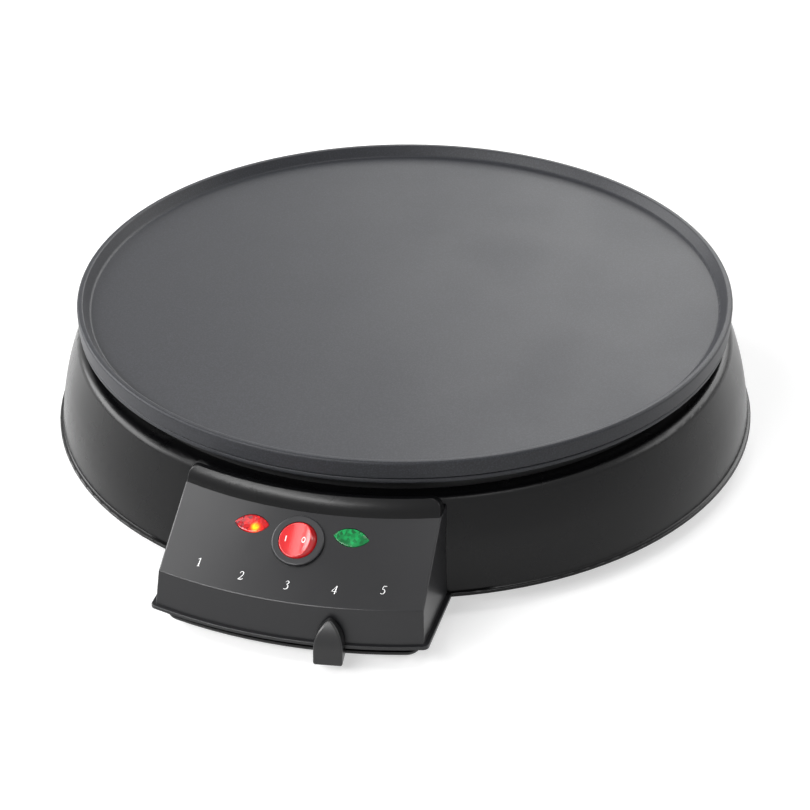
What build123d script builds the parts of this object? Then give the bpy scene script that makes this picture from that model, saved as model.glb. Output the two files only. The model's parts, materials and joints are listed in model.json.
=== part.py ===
from build123d import *
import os
from math import cos, hypot, radians, sin, sqrt, tan

os.makedirs("parts", exist_ok=True)

# Electric crepe maker: a cast hotplate with a raised rim, on a round moulded housing with a
# control box at the front. Millimetres, +Z up. The origin is on the table under the hotplate's
# axis, and the control box points along -Y.

# Driving dimensions ------------------------------------------------------------------------

# hotplate: cast aluminium, flat inside a raised rim
cooking_radius = 150.0
plate_thickness = 4.5
plate_gap = 7.3
rim_height = 4.8
rim_slope_width = 3.2
rim_land = 2.8
rim_band = 8.2
rim_draft = 0.3
rim_groove = 0.5
rim_groove_depth = 1.5
rim_bead = 2.6
rim_bead_inset = 0.6
rim_width = 5.2
rim_root_width = 2.0
crest_outer_fillet = 1.3
crest_inner_fillet = 0.9
cooking_fillet = 1.5
band_fillet = 0.5
bead_top_fillet = 0.8
bead_bottom_fillet = 1.2
plate_boss_inset = 30.0
plate_boss_radius = 6.0

# housing: a round shell, open below, with a stepped opening at the top
foot_height = 9.5
housing_height = 44.4
shoulder_inset = 0.1
shoulder_fillet = 5.0
shoulder_wall = 3.5
wall = 2.5
wall_lean = 10.2
wall_bulge = 1.9
lip_overhang = 1.65
lip_height = 1.5
lip_fillet = 0.6
well_inset = 8.5
ledge_depth = 3.5
ledge_width = 7.0

# control box: a wedge of a cone that grows out of the front of the shell
panel_slope = 34.4
panel_depth = 34.9
strip_depth = 10.3
strip_rise = 1.8
strip_root = 1.0
crease_drop = 3.5
box_flare = 3.5
box_half_width = 58.2
box_draft = 3.6
box_front_lip = 1.6
box_side_lip = 2.0
box_lip_corner = 3.0
box_lip_fillet = 0.5
box_edge_fillet = 0.9
cut_reach = 40.0

# guard: a leaning wall that stands behind the panel, between it and the hotplate
guard_height = 7.4
guard_lean = 4.4
guard_bulge = 0.6
guard_thickness = 2.5
guard_root = 1.5
guard_inset = 0.6
guard_corner = 5.0
guard_edge_fillet = 0.5

# bottom cover: a tray whose flange closes the shell
cover_thickness = 2.0
cover_clearance = 0.4
tray_inset = 16.1
tray_depth = 7.5
tray_corner = 7.0
tray_edge_fillet = 3.0
slot_height = 3.2
slot_half_angle = 19.0
vent_count = 20
vent_inset = 37.0
vent_length = 24.0
vent_width = 3.5
cover_screw_angles = (0, 50, 130, 180, 238, 302)
cover_screw_inset = 5.5
cover_boss_radius = 4.5
cover_boss_height = 18.0
pivot_boss_radius = 7.0
pivot_boss_gap = 0.3

# rubber feet
foot_angles = (45, 135, 225, 315)
foot_inset = 18.0
foot_radius = 11.0
foot_edge_fillet = 0.6
foot_stem_radius = 5.0
foot_head_radius = 7.0
foot_head_tip_radius = 4.0
foot_head_height = 2.5
foot_recess_radius = 2.5

# thermostat and its lever
pivot_y = -41.6
lever_rest_angle = 7.5
lever_end_angle = 16.0
shaft_radius = 3.0
shaft_tip_radius = 2.0
shaft_flat = 2.2
shaft_end_gap = 1.0
running_clearance = 0.05
lever_clearance = 1.5
lever_thickness = 2.0
lever_hub_radius = 8.0
lever_hub_height = 8.5
lever_arm_root = 12.0
lever_arm_end = 9.0
knob_half_width = 6.4
knob_depth = 6.8
knob_top_depth = 2.5
knob_height = 18.9
knob_side_height = 7.5
knob_drop = 5.0
knob_tip_fillet = 1.5
knob_corner = 1.0
knob_edge_fillet = 0.9
knob_lip_gap = 0.5
knob_swing_clearance = 0.6
set_screw_hex_radius = 0.75
set_screw_hex_depth = 1.5
thermostat_radius = 11.0
thermostat_height = 12.0
thermostat_neck_radius = 5.5
thermostat_neck_length = 6.0
thermostat_pad_height = 5.0
thermostat_tab_drop = 4.0
bracket_length = 46.0
bracket_width = 14.0
bracket_thickness = 1.2
bracket_screw_pitch = 36.0
bracket_boss_radius = 4.0

# heat shield: a pressed steel dish under the hotplate, with a turned-up rim that closes the gap
shield_thickness = 0.8
shield_clearance = 0.5
shield_wall_gap = 2.5
shield_depth = 14.4
shield_plate_gap = 1.2
shield_hole_gap = 2.0

# tubular heating element, half sunk in the hotplate's underside
element_inset = 50.0
element_tube_radius = 3.25
element_sink = 2.0
element_gap_angle = 24.0
element_bend = 9.0
element_leg = 18.0
spade_thickness = 0.8
spade_width = 6.3
spade_length = 8.0
spade_root = 1.0

# rocker switch and pilot lights, on the sloping panel
switch_setback = 11.5
bezel_radius = 11.6
bezel_height = 2.0
bezel_recess = 0.3
bezel_clearance = 0.3
bezel_edge_fillet = 0.7
switch_body_radius = 10.4
switch_body_depth = 14.0
terminal_gap = 5.5
terminal_length = 8.0
terminal_width = 4.8
terminal_thickness = 0.8
rocker_ball_radius = 9.0
rocker_gap = 0.3
rocker_axis_depth = 3.5
rocker_rise = 4.0
rocker_dish_radius = 21.0
rocker_tilt = 10.0
rocker_pin_radius = 1.2
light_setback = 7.9
light_bearing = 7.4
lens_length = 16.0
lens_width = 8.6
lens_tip_fillet = 1.0
lens_proud = 0.5
lens_flange = 1.2
lens_flange_gap = 0.4
lamp_radius = 2.8
lamp_clearance = 0.3
lamp_setback = 0.6
holder_length = 7.0
holder_floor = 1.0

# cord gland at the rear
gland_height = 11.5
gland_seat_depth = 1.2
gland_clearance = 0.4
gland_flange_radius = 9.0
gland_flange_thickness = 2.5
gland_edge_fillet = 1.0
gland_body_radius = 7.5
gland_bore_radius = 3.5
gland_length = 16.0
gland_collar_gap = 2.3
gland_collar_rise = 1.2
gland_collar_length = 2.5

# thermal fuse and its clip, under the hotplate
fuse_x = 46.0
fuse_y = 34.0
fuse_radius = 4.0
fuse_length = 16.0
fuse_chamfer = 0.8
fuse_lead_radius = 0.6
fuse_lead_length = 8.0
clip_width = 8.0
clip_thickness = 0.8
clip_tab = 9.0

# terminal block on the cover, and the earth tab under the heat shield
block_y = 52.0
block_length = 34.0
block_width = 18.0
block_height = 14.0
block_corner = 2.0
block_hole_radius = 2.2
earth_x = -62.0
earth_y = 60.0
earth_length = 16.0
earth_width = 9.0
earth_corner = 2.0

# screws and fits
cover_screw_radius = 1.5
cover_screw_head = 3.0
cover_screw_length = 12.0
plate_screw_radius = 2.0
plate_screw_head = 4.0
plate_screw_length = 14.0
small_screw_radius = 1.4
small_screw_head = 2.8
small_screw_length = 8.0
screw_clearance = 0.1
fit_clearance = 0.1

# Derived radii, from the hotplate outwards ---------------------------------------------------

plate_radius = cooking_radius + rim_slope_width + rim_land
shoulder_radius = plate_radius - shoulder_inset
well_radius = plate_radius - well_inset
ledge_radius = well_radius - ledge_width
wall_foot_radius = shoulder_radius + wall_lean
lip_radius = wall_foot_radius + lip_overhang
crease_radius = shoulder_radius + strip_depth
box_front_radius = crease_radius + panel_depth
box_foot_radius = box_front_radius + box_flare
box_back_radius = well_radius + wall + strip_root
tray_radius = wall_foot_radius - tray_inset
tray_front_radius = box_foot_radius - wall - 2 * cover_clearance
foot_circle = tray_radius - foot_inset
vent_radius = foot_circle - vent_inset
cover_screw_circle = wall_foot_radius - wall - cover_screw_inset
shield_wall_radius = ledge_radius - shield_wall_gap
shield_rim_radius = well_radius - shield_clearance
shield_screw_circle = (well_radius + ledge_radius) / 2 - shield_thickness
plate_boss_circle = cooking_radius - plate_boss_inset
element_ring_radius = cooking_radius - element_inset
switch_radius = crease_radius + switch_setback
light_radius = crease_radius + light_setback

# Derived heights, from the table upwards -----------------------------------------------------

lip_z = foot_height
lip_top_z = lip_z + lip_height
tray_z = lip_z - tray_depth
tray_floor_z = tray_z + cover_thickness
flange_top_z = lip_z + cover_thickness
lever_z = tray_floor_z + lever_clearance
gland_z = lip_z + gland_height
shoulder_z = lip_z + housing_height
ledge_z = shoulder_z - ledge_depth
crease_z = shoulder_z - crease_drop
box_front_z = crease_z - panel_depth * tan(radians(panel_slope))
shield_rim_z = ledge_z + shield_thickness
shield_z = ledge_z - shield_depth
shield_floor_z = shield_z + shield_thickness
rim_bottom_z = shoulder_z + plate_gap
band_bottom_z = rim_bottom_z + rim_bead + rim_groove
crest_z = band_bottom_z + rim_band
cooking_z = crest_z - rim_height
underside_z = cooking_z - plate_thickness
thermostat_top_z = underside_z - thermostat_pad_height
thermostat_z = thermostat_top_z - thermostat_height
element_z = underside_z - element_tube_radius + element_sink


# Helpers -----------------------------------------------------------------------------------


def finish(piece, name):
    """Labels a finished sub-part and writes its STEP file."""
    piece.part.label = name
    export_step(piece.part, f"parts/{name}.step")


def on_circle(radius, angles):
    """Points on a circle round the vertical axis, at angles in degrees from +X."""
    return [(radius * cos(radians(a)), radius * sin(radians(a))) for a in angles]


def half_width_at(z, inset=0.0):
    """Half the control box's width at a height: its sides lean in as they rise."""
    return box_half_width + (crease_z - z) * tan(radians(box_draft)) - inset


def panel_plane(radius, bearing=0.0):
    """A plane on the sloping panel: X runs across the box."""
    slope, turn = radians(panel_slope), radians(bearing)
    normal = Vector(sin(turn) * sin(slope), -cos(turn) * sin(slope), cos(slope))
    height = crease_z - (radius - crease_radius) * tan(slope)
    point = Vector(radius * sin(turn), -radius * cos(turn), height)
    across = Vector(1, 0, 0) - normal * normal.X
    return Plane(origin=point, x_dir=across, z_dir=normal)


def make_screw(plane, radius, head_radius, length, name):
    """A pan-head screw: its head's seat is on the plane and its shank runs along +Z."""
    head_height = 0.8 * head_radius
    with BuildPart(plane) as screw:
        Cylinder(radius, length, align=(Align.CENTER, Align.CENTER, Align.MIN))
        with Locations((0, 0, -head_height)):
            Cylinder(head_radius, head_height, align=(Align.CENTER, Align.CENTER, Align.MIN))
        head_rim = screw.edges().filter_by(GeomType.CIRCLE).filter_by(
            lambda e: abs(e.radius - head_radius) < 1e-6
        )
        fillet(head_rim.sort_by(Axis((0, 0, 0), plane.z_dir))[0], head_height / 3)
        with Locations((0, 0, -head_height)):
            for turn in (0, 90):
                Box(
                    1.2 * head_radius,
                    0.25 * head_radius,
                    head_height,
                    rotation=(0, 0, turn),
                    mode=Mode.SUBTRACT,
                )
    finish(screw, name)


def make_box_slab(inset):
    """The control box's width as a long trapezoid bar, to cut rings down to a wedge."""
    low_z, high_z = lip_z - cut_reach, crease_z + cut_reach
    with BuildPart() as slab:
        with BuildSketch(Plane.XZ):
            with BuildLine():
                Polyline(
                    (-half_width_at(low_z, inset), low_z),
                    (half_width_at(low_z, inset), low_z),
                    (half_width_at(high_z, inset), high_z),
                    (-half_width_at(high_z, inset), high_z),
                    close=True,
                )
            make_face()
        extrude(amount=box_front_radius + cut_reach)
    return slab.part


def make_cover_outline(round_radius, front_radius, half_width, corner, root=0.0):
    """The cover's plan: a disc with the control box's tongue at the front, rounded at its root."""
    with BuildSketch() as outline:
        Circle(front_radius)
        with Locations((0, -front_radius / 2)):
            Rectangle(2 * half_width, front_radius, mode=Mode.INTERSECT)
        fillet(outline.vertices().sort_by(Axis.Y)[:2], corner)
        Circle(round_radius)
        if root > 0:
            tongue_root = (half_width, -sqrt(round_radius**2 - half_width**2))
            mirrored_root = (-half_width, tongue_root[1])
            for point in (tongue_root, mirrored_root):
                fillet(outline.vertices().sort_by_distance(point)[0], root)
    return outline.sketch


def make_lens_outline(grow):
    """The pilot light's almond outline: two arcs that meet in blunt tips."""
    length, width = lens_length / 2 + grow, lens_width / 2 + grow
    with BuildSketch() as outline:
        with BuildLine():
            ThreePointArc((-length, 0), (0, width), (length, 0))
            ThreePointArc((length, 0), (0, -width), (-length, 0))
        make_face()
        fillet(outline.vertices(), lens_tip_fillet + grow)
    return outline.sketch


# Housing -----------------------------------------------------------------------------------

# the wedge of the control box: front wall, sloping panel and the flat strip behind it
with BuildPart() as box_block:
    with BuildSketch(Plane.XZ):
        with BuildLine():
            Polyline(
                (box_back_radius, lip_z),
                (box_foot_radius, lip_z),
                (box_front_radius, box_front_z),
                (crease_radius, crease_z),
                (box_back_radius, crease_z + strip_rise),
                close=True,
            )
        make_face()
    revolve(axis=Axis.Z)
    add(make_box_slab(0), mode=Mode.INTERSECT)
    box_edges = box_block.edges().filter_by(
        lambda e: e.center().Z > lip_top_z
        and hypot(e.center().X, e.center().Y) > shoulder_radius
        and abs((e @ 0).Z - crease_z) + abs((e @ 1).Z - crease_z) > 0.1
    )
    fillet(box_edges, box_edge_fillet)

# the guard, with its upper corners and its top edges rounded
with BuildPart() as box_guard:
    with BuildSketch(Plane.XZ):
        guard_top_radius = crease_radius - guard_lean
        guard_back_radius = guard_top_radius - guard_thickness
        guard_top_z = crease_z + guard_height
        with BuildLine():
            SagittaArc(
                (crease_radius, crease_z), (guard_top_radius, guard_top_z), -guard_bulge
            )
            Polyline(
                (guard_top_radius, guard_top_z),
                (guard_back_radius, guard_top_z),
                (guard_back_radius, crease_z - guard_root),
                (crease_radius, crease_z - guard_root),
                (crease_radius, crease_z),
            )
        make_face()
    revolve(axis=Axis.Z)
    add(make_box_slab(guard_inset), mode=Mode.INTERSECT)
    guard_top = box_guard.faces().sort_by(Axis.Z)[-1]
    fillet(guard_top.edges().filter_by(GeomType.LINE), guard_corner)
    fillet(box_guard.faces().sort_by(Axis.Z)[-1].edges(), guard_edge_fillet)

# the lip round the foot of the control box
with BuildPart() as box_rim:
    with BuildSketch(Plane.XY.offset(lip_z)) as rim_outline:
        Circle(box_foot_radius + box_front_lip)
        with Locations((0, -lip_radius)):
            Rectangle(
                2 * (half_width_at(lip_z) + box_side_lip),
                2 * (box_foot_radius - lip_radius + cut_reach),
                mode=Mode.INTERSECT,
            )
        Circle(box_back_radius, mode=Mode.SUBTRACT)
        fillet(rim_outline.vertices().sort_by(Axis.Y)[:2], box_lip_corner)
    extrude(amount=lip_height)
    rim_top = box_rim.faces().sort_by(Axis.Z)[-1].edges()
    fillet(
        rim_top.filter_by(lambda e: (e @ 0.5).Y < -lip_radius), box_lip_fillet
    )

# the hollow inside the control box
with BuildPart() as box_hollow:
    with BuildSketch(Plane.XZ):
        with BuildLine():
            Polyline(
                (box_back_radius, lip_z - 3 * wall),
                (box_foot_radius, lip_z - 3 * wall),
                (box_foot_radius, lip_z),
                (box_front_radius, box_front_z),
                (crease_radius, crease_z),
                (box_back_radius, crease_z + strip_rise),
                close=True,
            )
        make_face()
        offset(amount=-wall)
    revolve(axis=Axis.Z)
    add(make_box_slab(wall), mode=Mode.INTERSECT)

shield_screw_angles = (0, 90, 180, 270)
switch_plane = panel_plane(switch_radius)
light_planes = {
    "power": panel_plane(light_radius, -light_bearing),
    "ready": panel_plane(light_radius, light_bearing),
}
gland_seat_y = wall_foot_radius - gland_seat_depth
gland_plane = Plane(origin=(0, gland_seat_y, gland_z), x_dir=(1, 0, 0), z_dir=(0, 1, 0))

with BuildPart() as housing:
    with BuildSketch(Plane.XZ) as round_profile:
        with BuildLine():
            Polyline(
                (0, shoulder_z),
                (0, lip_z),
                (lip_radius, lip_z),
                (lip_radius, lip_top_z),
                (wall_foot_radius, lip_top_z),
            )
            SagittaArc(
                (wall_foot_radius, lip_top_z), (shoulder_radius, shoulder_z), -wall_bulge
            )
            Line((shoulder_radius, shoulder_z), (0, shoulder_z))
        make_face()
        for corner, size in (
            ((shoulder_radius, shoulder_z), shoulder_fillet),
            ((lip_radius, lip_top_z), lip_fillet),
        ):
            fillet(round_profile.vertices().sort_by_distance(corner)[0], size)
    revolve(axis=Axis.Z)
    add(box_block.part)
    add(box_guard.part)
    add(box_rim.part)
    with BuildSketch(Plane.XZ):
        with BuildLine():
            Polyline(
                (shoulder_radius - shoulder_wall, shoulder_z - wall),
                (well_radius + wall, shoulder_z - wall),
                (well_radius + wall, ledge_z - wall),
                (ledge_radius, ledge_z - wall),
                (ledge_radius, ledge_z),
                (well_radius, ledge_z),
                (well_radius, shoulder_z + wall),
                (0, shoulder_z + wall),
                (0, lip_z - wall),
                (wall_foot_radius - wall, lip_z - wall),
                (wall_foot_radius - wall, lip_top_z),
            )
            SagittaArc(
                (wall_foot_radius - wall, lip_top_z),
                (shoulder_radius - shoulder_wall, shoulder_z - wall),
                -wall_bulge,
            )
        make_face()
    revolve(axis=Axis.Z, mode=Mode.SUBTRACT)
    add(box_hollow.part, mode=Mode.SUBTRACT)

    # bosses for the cover's screws, and for the heat shield's under the ledge
    with BuildSketch(Plane.XY.offset(flange_top_z)):
        with Locations(*on_circle(cover_screw_circle, cover_screw_angles)):
            Circle(cover_boss_radius)
    extrude(amount=cover_boss_height)
    with BuildSketch(Plane.XY.offset(ledge_z - wall)):
        with Locations(*on_circle(shield_screw_circle, shield_screw_angles)):
            Circle((well_radius - ledge_radius) / 2)
    extrude(amount=-small_screw_length)
    with BuildSketch(Plane.XY.offset(flange_top_z)):
        with Locations(*on_circle(cover_screw_circle, cover_screw_angles)):
            Circle(cover_screw_radius + screw_clearance)
    extrude(amount=cover_screw_length, mode=Mode.SUBTRACT)
    with BuildSketch(Plane.XY.offset(ledge_z)):
        with Locations(*on_circle(shield_screw_circle, shield_screw_angles)):
            Circle(small_screw_radius + screw_clearance)
    extrude(amount=-small_screw_length, mode=Mode.SUBTRACT)

    # the switch's hole and its flat seat
    with BuildSketch(switch_plane.offset(-bezel_recess)):
        Circle(bezel_radius + bezel_clearance)
    extrude(amount=wall, mode=Mode.SUBTRACT)
    with BuildSketch(switch_plane.offset(-2 * wall)):
        Circle(switch_body_radius + fit_clearance)
    extrude(amount=3 * wall, mode=Mode.SUBTRACT)

    # the pilot lights' windows
    for light_plane in light_planes.values():
        with BuildSketch(light_plane.offset(-2 * wall)):
            add(make_lens_outline(fit_clearance))
        extrude(amount=3 * wall, mode=Mode.SUBTRACT)

    # the cord gland's hole and its flat seat
    with BuildSketch(gland_plane):
        Circle(gland_flange_radius + gland_clearance)
    extrude(amount=3 * wall, mode=Mode.SUBTRACT)
    with BuildSketch(gland_plane.offset(-3 * wall)):
        Circle(gland_body_radius + fit_clearance)
    extrude(amount=4 * wall, mode=Mode.SUBTRACT)
finish(housing, "housing")


# Bottom cover and feet ---------------------------------------------------------------------

tray_half_width = half_width_at(lip_z, wall) - 2 * cover_clearance

with BuildPart() as bottom_cover:
    with BuildSketch(Plane.XY.offset(lip_z)):
        add(
            make_cover_outline(
                wall_foot_radius - wall - cover_clearance,
                box_foot_radius - wall - cover_clearance,
                half_width_at(lip_z, wall) - cover_clearance,
                cover_thickness,
            )
        )
    extrude(amount=cover_thickness)
    with BuildSketch(Plane.XY.offset(tray_z)):
        add(
            make_cover_outline(
                tray_radius,
                tray_front_radius,
                tray_half_width,
                tray_corner,
                tray_corner,
            )
        )
    extrude(amount=tray_depth)
    tray_rim = bottom_cover.faces().sort_by(Axis.Z)[0].outer_wire().edges()
    fillet(tray_rim, tray_edge_fillet)
    with BuildSketch(Plane.XY.offset(tray_floor_z)):
        add(
            make_cover_outline(
                tray_radius - cover_thickness,
                tray_front_radius - cover_thickness,
                tray_half_width - cover_thickness,
                tray_corner - cover_thickness,
                tray_corner + cover_thickness,
            )
        )
    extrude(amount=2 * tray_depth, mode=Mode.SUBTRACT)

    # the bearing of the lever's shaft
    with BuildSketch(Plane.XY.offset(tray_floor_z)):
        with Locations((0, pivot_y)):
            Circle(pivot_boss_radius)
    extrude(amount=lever_z - tray_floor_z - pivot_boss_gap)
    with BuildSketch(Plane.XY.offset(tray_z + cover_thickness / 3)):
        with Locations((0, pivot_y)):
            Circle(shaft_tip_radius + running_clearance)
    extrude(amount=tray_depth, mode=Mode.SUBTRACT)

    # the lever's slot, an arc round the shaft
    with BuildSketch(Plane.XY.offset(lever_z - (slot_height - lever_thickness) / 2)):
        with Locations((0, pivot_y)):
            Circle(box_foot_radius + pivot_y)
            Circle(tray_front_radius + pivot_y - 2 * tray_corner, mode=Mode.SUBTRACT)
            with BuildLine():
                slot_reach = 2 * box_foot_radius
                Polyline(
                    (0, 0),
                    (slot_reach * sin(radians(-slot_half_angle)), -slot_reach),
                    (slot_reach * sin(radians(slot_half_angle)), -slot_reach),
                    close=True,
                )
            make_face(mode=Mode.INTERSECT)
    extrude(amount=slot_height, mode=Mode.SUBTRACT)

    # vents, foot holes and screw holes
    with BuildSketch(Plane.XY.offset(tray_z)):
        with PolarLocations(vent_radius, vent_count):
            SlotOverall(vent_length, vent_width)
    extrude(amount=cover_thickness, mode=Mode.SUBTRACT)
    with BuildSketch(Plane.XY.offset(tray_z)):
        with Locations(*on_circle(foot_circle, foot_angles)):
            Circle(foot_stem_radius + fit_clearance)
    extrude(amount=cover_thickness, mode=Mode.SUBTRACT)
    with BuildSketch(Plane.XY.offset(lip_z)):
        with Locations(*on_circle(cover_screw_circle, cover_screw_angles)):
            Circle(cover_screw_radius + screw_clearance)
    extrude(amount=cover_thickness, mode=Mode.SUBTRACT)
finish(bottom_cover, "bottom_cover")

for count, (x, y) in enumerate(on_circle(cover_screw_circle, cover_screw_angles), 1):
    make_screw(
        Plane((x, y, lip_z)),
        cover_screw_radius,
        cover_screw_head,
        cover_screw_length,
        f"cover_screw_{count}",
    )

for count, (x, y) in enumerate(on_circle(foot_circle, foot_angles), 1):
    with BuildPart(Plane((x, y, 0))) as foot:
        Cylinder(foot_radius, tray_z, align=(Align.CENTER, Align.CENTER, Align.MIN))
        fillet(foot.edges().sort_by(Axis.Z)[0], foot_edge_fillet)
        Cylinder(
            foot_stem_radius, tray_floor_z, align=(Align.CENTER, Align.CENTER, Align.MIN)
        )
        with Locations((0, 0, tray_floor_z)):
            Cone(
                foot_head_radius,
                foot_head_tip_radius,
                foot_head_height,
                align=(Align.CENTER, Align.CENTER, Align.MIN),
            )
        Cylinder(
            foot_recess_radius,
            tray_z,
            align=(Align.CENTER, Align.CENTER, Align.MIN),
            mode=Mode.SUBTRACT,
        )
    finish(foot, f"foot_{count}")


# Hotplate, heat shield and heating element -------------------------------------------------

plate_boss_angles = (45, 135, 225, 315)

with BuildPart() as hotplate:
    with BuildSketch(Plane.XZ) as plate_profile:
        rim_inner_radius = plate_radius - rim_width
        with BuildLine():
            Polyline(
                (0, underside_z),
                (0, cooking_z),
                (cooking_radius, cooking_z),
                (plate_radius - rim_land, crest_z),
                (plate_radius, crest_z),
                (plate_radius - rim_draft, band_bottom_z),
                (plate_radius - rim_groove_depth, band_bottom_z - rim_groove / 2),
                (plate_radius - rim_groove_depth, rim_bottom_z + rim_bead),
                (plate_radius - rim_bead_inset, rim_bottom_z + rim_bead),
                (plate_radius - rim_bead_inset, rim_bottom_z),
                (rim_inner_radius, rim_bottom_z),
                (rim_inner_radius - rim_root_width, underside_z),
                close=True,
            )
        make_face()
        for corner, size in (
            ((plate_radius, crest_z), crest_outer_fillet),
            ((plate_radius - rim_land, crest_z), crest_inner_fillet),
            ((cooking_radius, cooking_z), cooking_fillet),
            ((plate_radius - rim_draft, band_bottom_z), band_fillet),
            ((plate_radius - rim_bead_inset, rim_bottom_z + rim_bead), bead_top_fillet),
            ((plate_radius - rim_bead_inset, rim_bottom_z), bead_bottom_fillet),
        ):
            fillet(plate_profile.vertices().sort_by_distance(corner)[0], size)
    revolve(axis=Axis.Z)

    # cast feet that stand on the heat shield, and the seats of the thermostat and its bracket
    with BuildSketch(Plane.XY.offset(shield_floor_z)):
        with Locations(*on_circle(plate_boss_circle, plate_boss_angles)):
            Circle(plate_boss_radius)
    extrude(amount=underside_z - shield_floor_z)
    with BuildSketch(Plane.XY.offset(thermostat_top_z)):
        with Locations((0, pivot_y)):
            Circle(thermostat_radius)
    extrude(amount=thermostat_pad_height)
    bracket_points = [(side * bracket_screw_pitch / 2, pivot_y) for side in (-1, 1)]
    with BuildSketch(Plane.XY.offset(thermostat_z)):
        with Locations(*bracket_points):
            Circle(bracket_boss_radius)
    extrude(amount=underside_z - thermostat_z)
    with BuildSketch(Plane.XY.offset(shield_floor_z)):
        with Locations(*on_circle(plate_boss_circle, plate_boss_angles)):
            Circle(plate_screw_radius + screw_clearance)
    extrude(amount=plate_screw_length, mode=Mode.SUBTRACT)
    with BuildSketch(Plane.XY.offset(thermostat_z)):
        with Locations(*bracket_points):
            Circle(small_screw_radius + screw_clearance)
    extrude(amount=small_screw_length, mode=Mode.SUBTRACT)

    # the groove that holds the heating element
    with BuildSketch(Plane.XZ):
        with Locations((element_ring_radius, element_z)):
            Circle(element_tube_radius + running_clearance)
    revolve(axis=Axis.Z, mode=Mode.SUBTRACT)
finish(hotplate, "hotplate")

element_start = 90 + element_gap_angle / 2
element_sweep = 360 - element_gap_angle
element_ends = on_circle(element_ring_radius, (element_start, element_start + element_sweep))

with BuildPart() as heating_element:
    with BuildSketch(Plane.XZ.rotated((0, 0, element_start))):
        with Locations((element_ring_radius, element_z)):
            Circle(element_tube_radius)
    revolve(axis=Axis.Z, revolution_arc=element_sweep)
    for (x, y), turn in zip(element_ends, (-1, 1)):
        away = Vector(-y, x, 0).normalized() * turn
        pivot_axis = Axis((x, y, element_z - element_bend), away.cross(Vector(0, 0, 1)))
        with BuildSketch(Plane(origin=(x, y, element_z), z_dir=away)) as tube_end:
            Circle(element_tube_radius)
        revolve(axis=pivot_axis, revolution_arc=-90)
        leg_top = Vector(x, y, element_z - element_bend) + away * element_bend
        with BuildSketch(Plane(origin=leg_top, z_dir=(0, 0, -1))):
            Circle(element_tube_radius)
        extrude(amount=element_leg)
        with BuildSketch(Plane(leg_top - Vector(0, 0, element_leg), x_dir=away, z_dir=(0, 0, -1))):
            Rectangle(spade_thickness, spade_width)
        extrude(amount=spade_length)
finish(heating_element, "heating_element")

element_legs = []
for (x, y), turn in zip(element_ends, (-1, 1)):
    step = Vector(-y, x, 0).normalized() * turn * element_bend
    element_legs.append((x + step.X, y + step.Y))

with BuildPart() as heat_shield:
    with BuildSketch(Plane.XZ):
        with BuildLine():
            Polyline(
                (0, shield_z),
                (shield_wall_radius, shield_z),
                (shield_wall_radius, ledge_z),
                (shield_rim_radius, ledge_z),
                (shield_rim_radius, underside_z - shield_plate_gap),
                (shield_rim_radius - shield_thickness, underside_z - shield_plate_gap),
                (shield_rim_radius - shield_thickness, shield_rim_z),
                (shield_wall_radius - shield_thickness, shield_rim_z),
                (shield_wall_radius - shield_thickness, shield_floor_z),
                (0, shield_floor_z),
                close=True,
            )
        make_face()
    revolve(axis=Axis.Z)
    with BuildSketch(Plane.XY.offset(shield_z)):
        with Locations((0, pivot_y)):
            Circle(thermostat_neck_radius + shield_hole_gap)
        with Locations(*element_legs):
            Circle(element_tube_radius + shield_hole_gap)
        with Locations(*on_circle(plate_boss_circle, plate_boss_angles)):
            Circle(plate_screw_radius + screw_clearance)
    extrude(amount=shield_thickness, mode=Mode.SUBTRACT)
    with BuildSketch(Plane.XY.offset(ledge_z)):
        with Locations(*on_circle(shield_screw_circle, shield_screw_angles)):
            Circle(small_screw_radius + screw_clearance)
    extrude(amount=shield_thickness, mode=Mode.SUBTRACT)
finish(heat_shield, "heat_shield")

for count, (x, y) in enumerate(on_circle(plate_boss_circle, plate_boss_angles), 1):
    make_screw(
        Plane((x, y, shield_z)),
        plate_screw_radius,
        plate_screw_head,
        plate_screw_length,
        f"plate_screw_{count}",
    )

for count, (x, y) in enumerate(on_circle(shield_screw_circle, shield_screw_angles), 1):
    make_screw(
        Plane((x, y, shield_rim_z), x_dir=(1, 0, 0), z_dir=(0, 0, -1)),
        small_screw_radius,
        small_screw_head,
        small_screw_length,
        f"shield_screw_{count}",
    )


# Thermostat and lever ----------------------------------------------------------------------

thermostat_neck_z = thermostat_z - bracket_thickness - thermostat_neck_length
thermostat_tab_z = thermostat_top_z - thermostat_tab_drop
shaft_top_z = thermostat_z + thermostat_height / 2

with BuildPart() as thermostat:
    with BuildSketch(Plane.XY.offset(thermostat_z)):
        with Locations((0, pivot_y)):
            Circle(thermostat_radius)
    extrude(amount=thermostat_height)
    with BuildSketch(Plane.XY.offset(thermostat_neck_z)):
        with Locations((0, pivot_y)):
            Circle(thermostat_neck_radius)
    extrude(amount=thermostat_z - thermostat_neck_z)
    for side in (-1, 1):
        tab_plane = Plane(
            origin=(0, pivot_y + side * thermostat_radius, thermostat_tab_z),
            x_dir=(1, 0, 0),
            z_dir=(0, side, 0),
        )
        with BuildSketch(tab_plane.offset(-spade_root)):
            Rectangle(spade_width, spade_thickness)
        extrude(amount=spade_root + spade_length)
    with BuildSketch(Plane.XY.offset(thermostat_neck_z)):
        with Locations((0, pivot_y)):
            Circle(shaft_radius + running_clearance)
    extrude(amount=shaft_top_z - thermostat_neck_z + shaft_end_gap, mode=Mode.SUBTRACT)
finish(thermostat, "thermostat")

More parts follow.
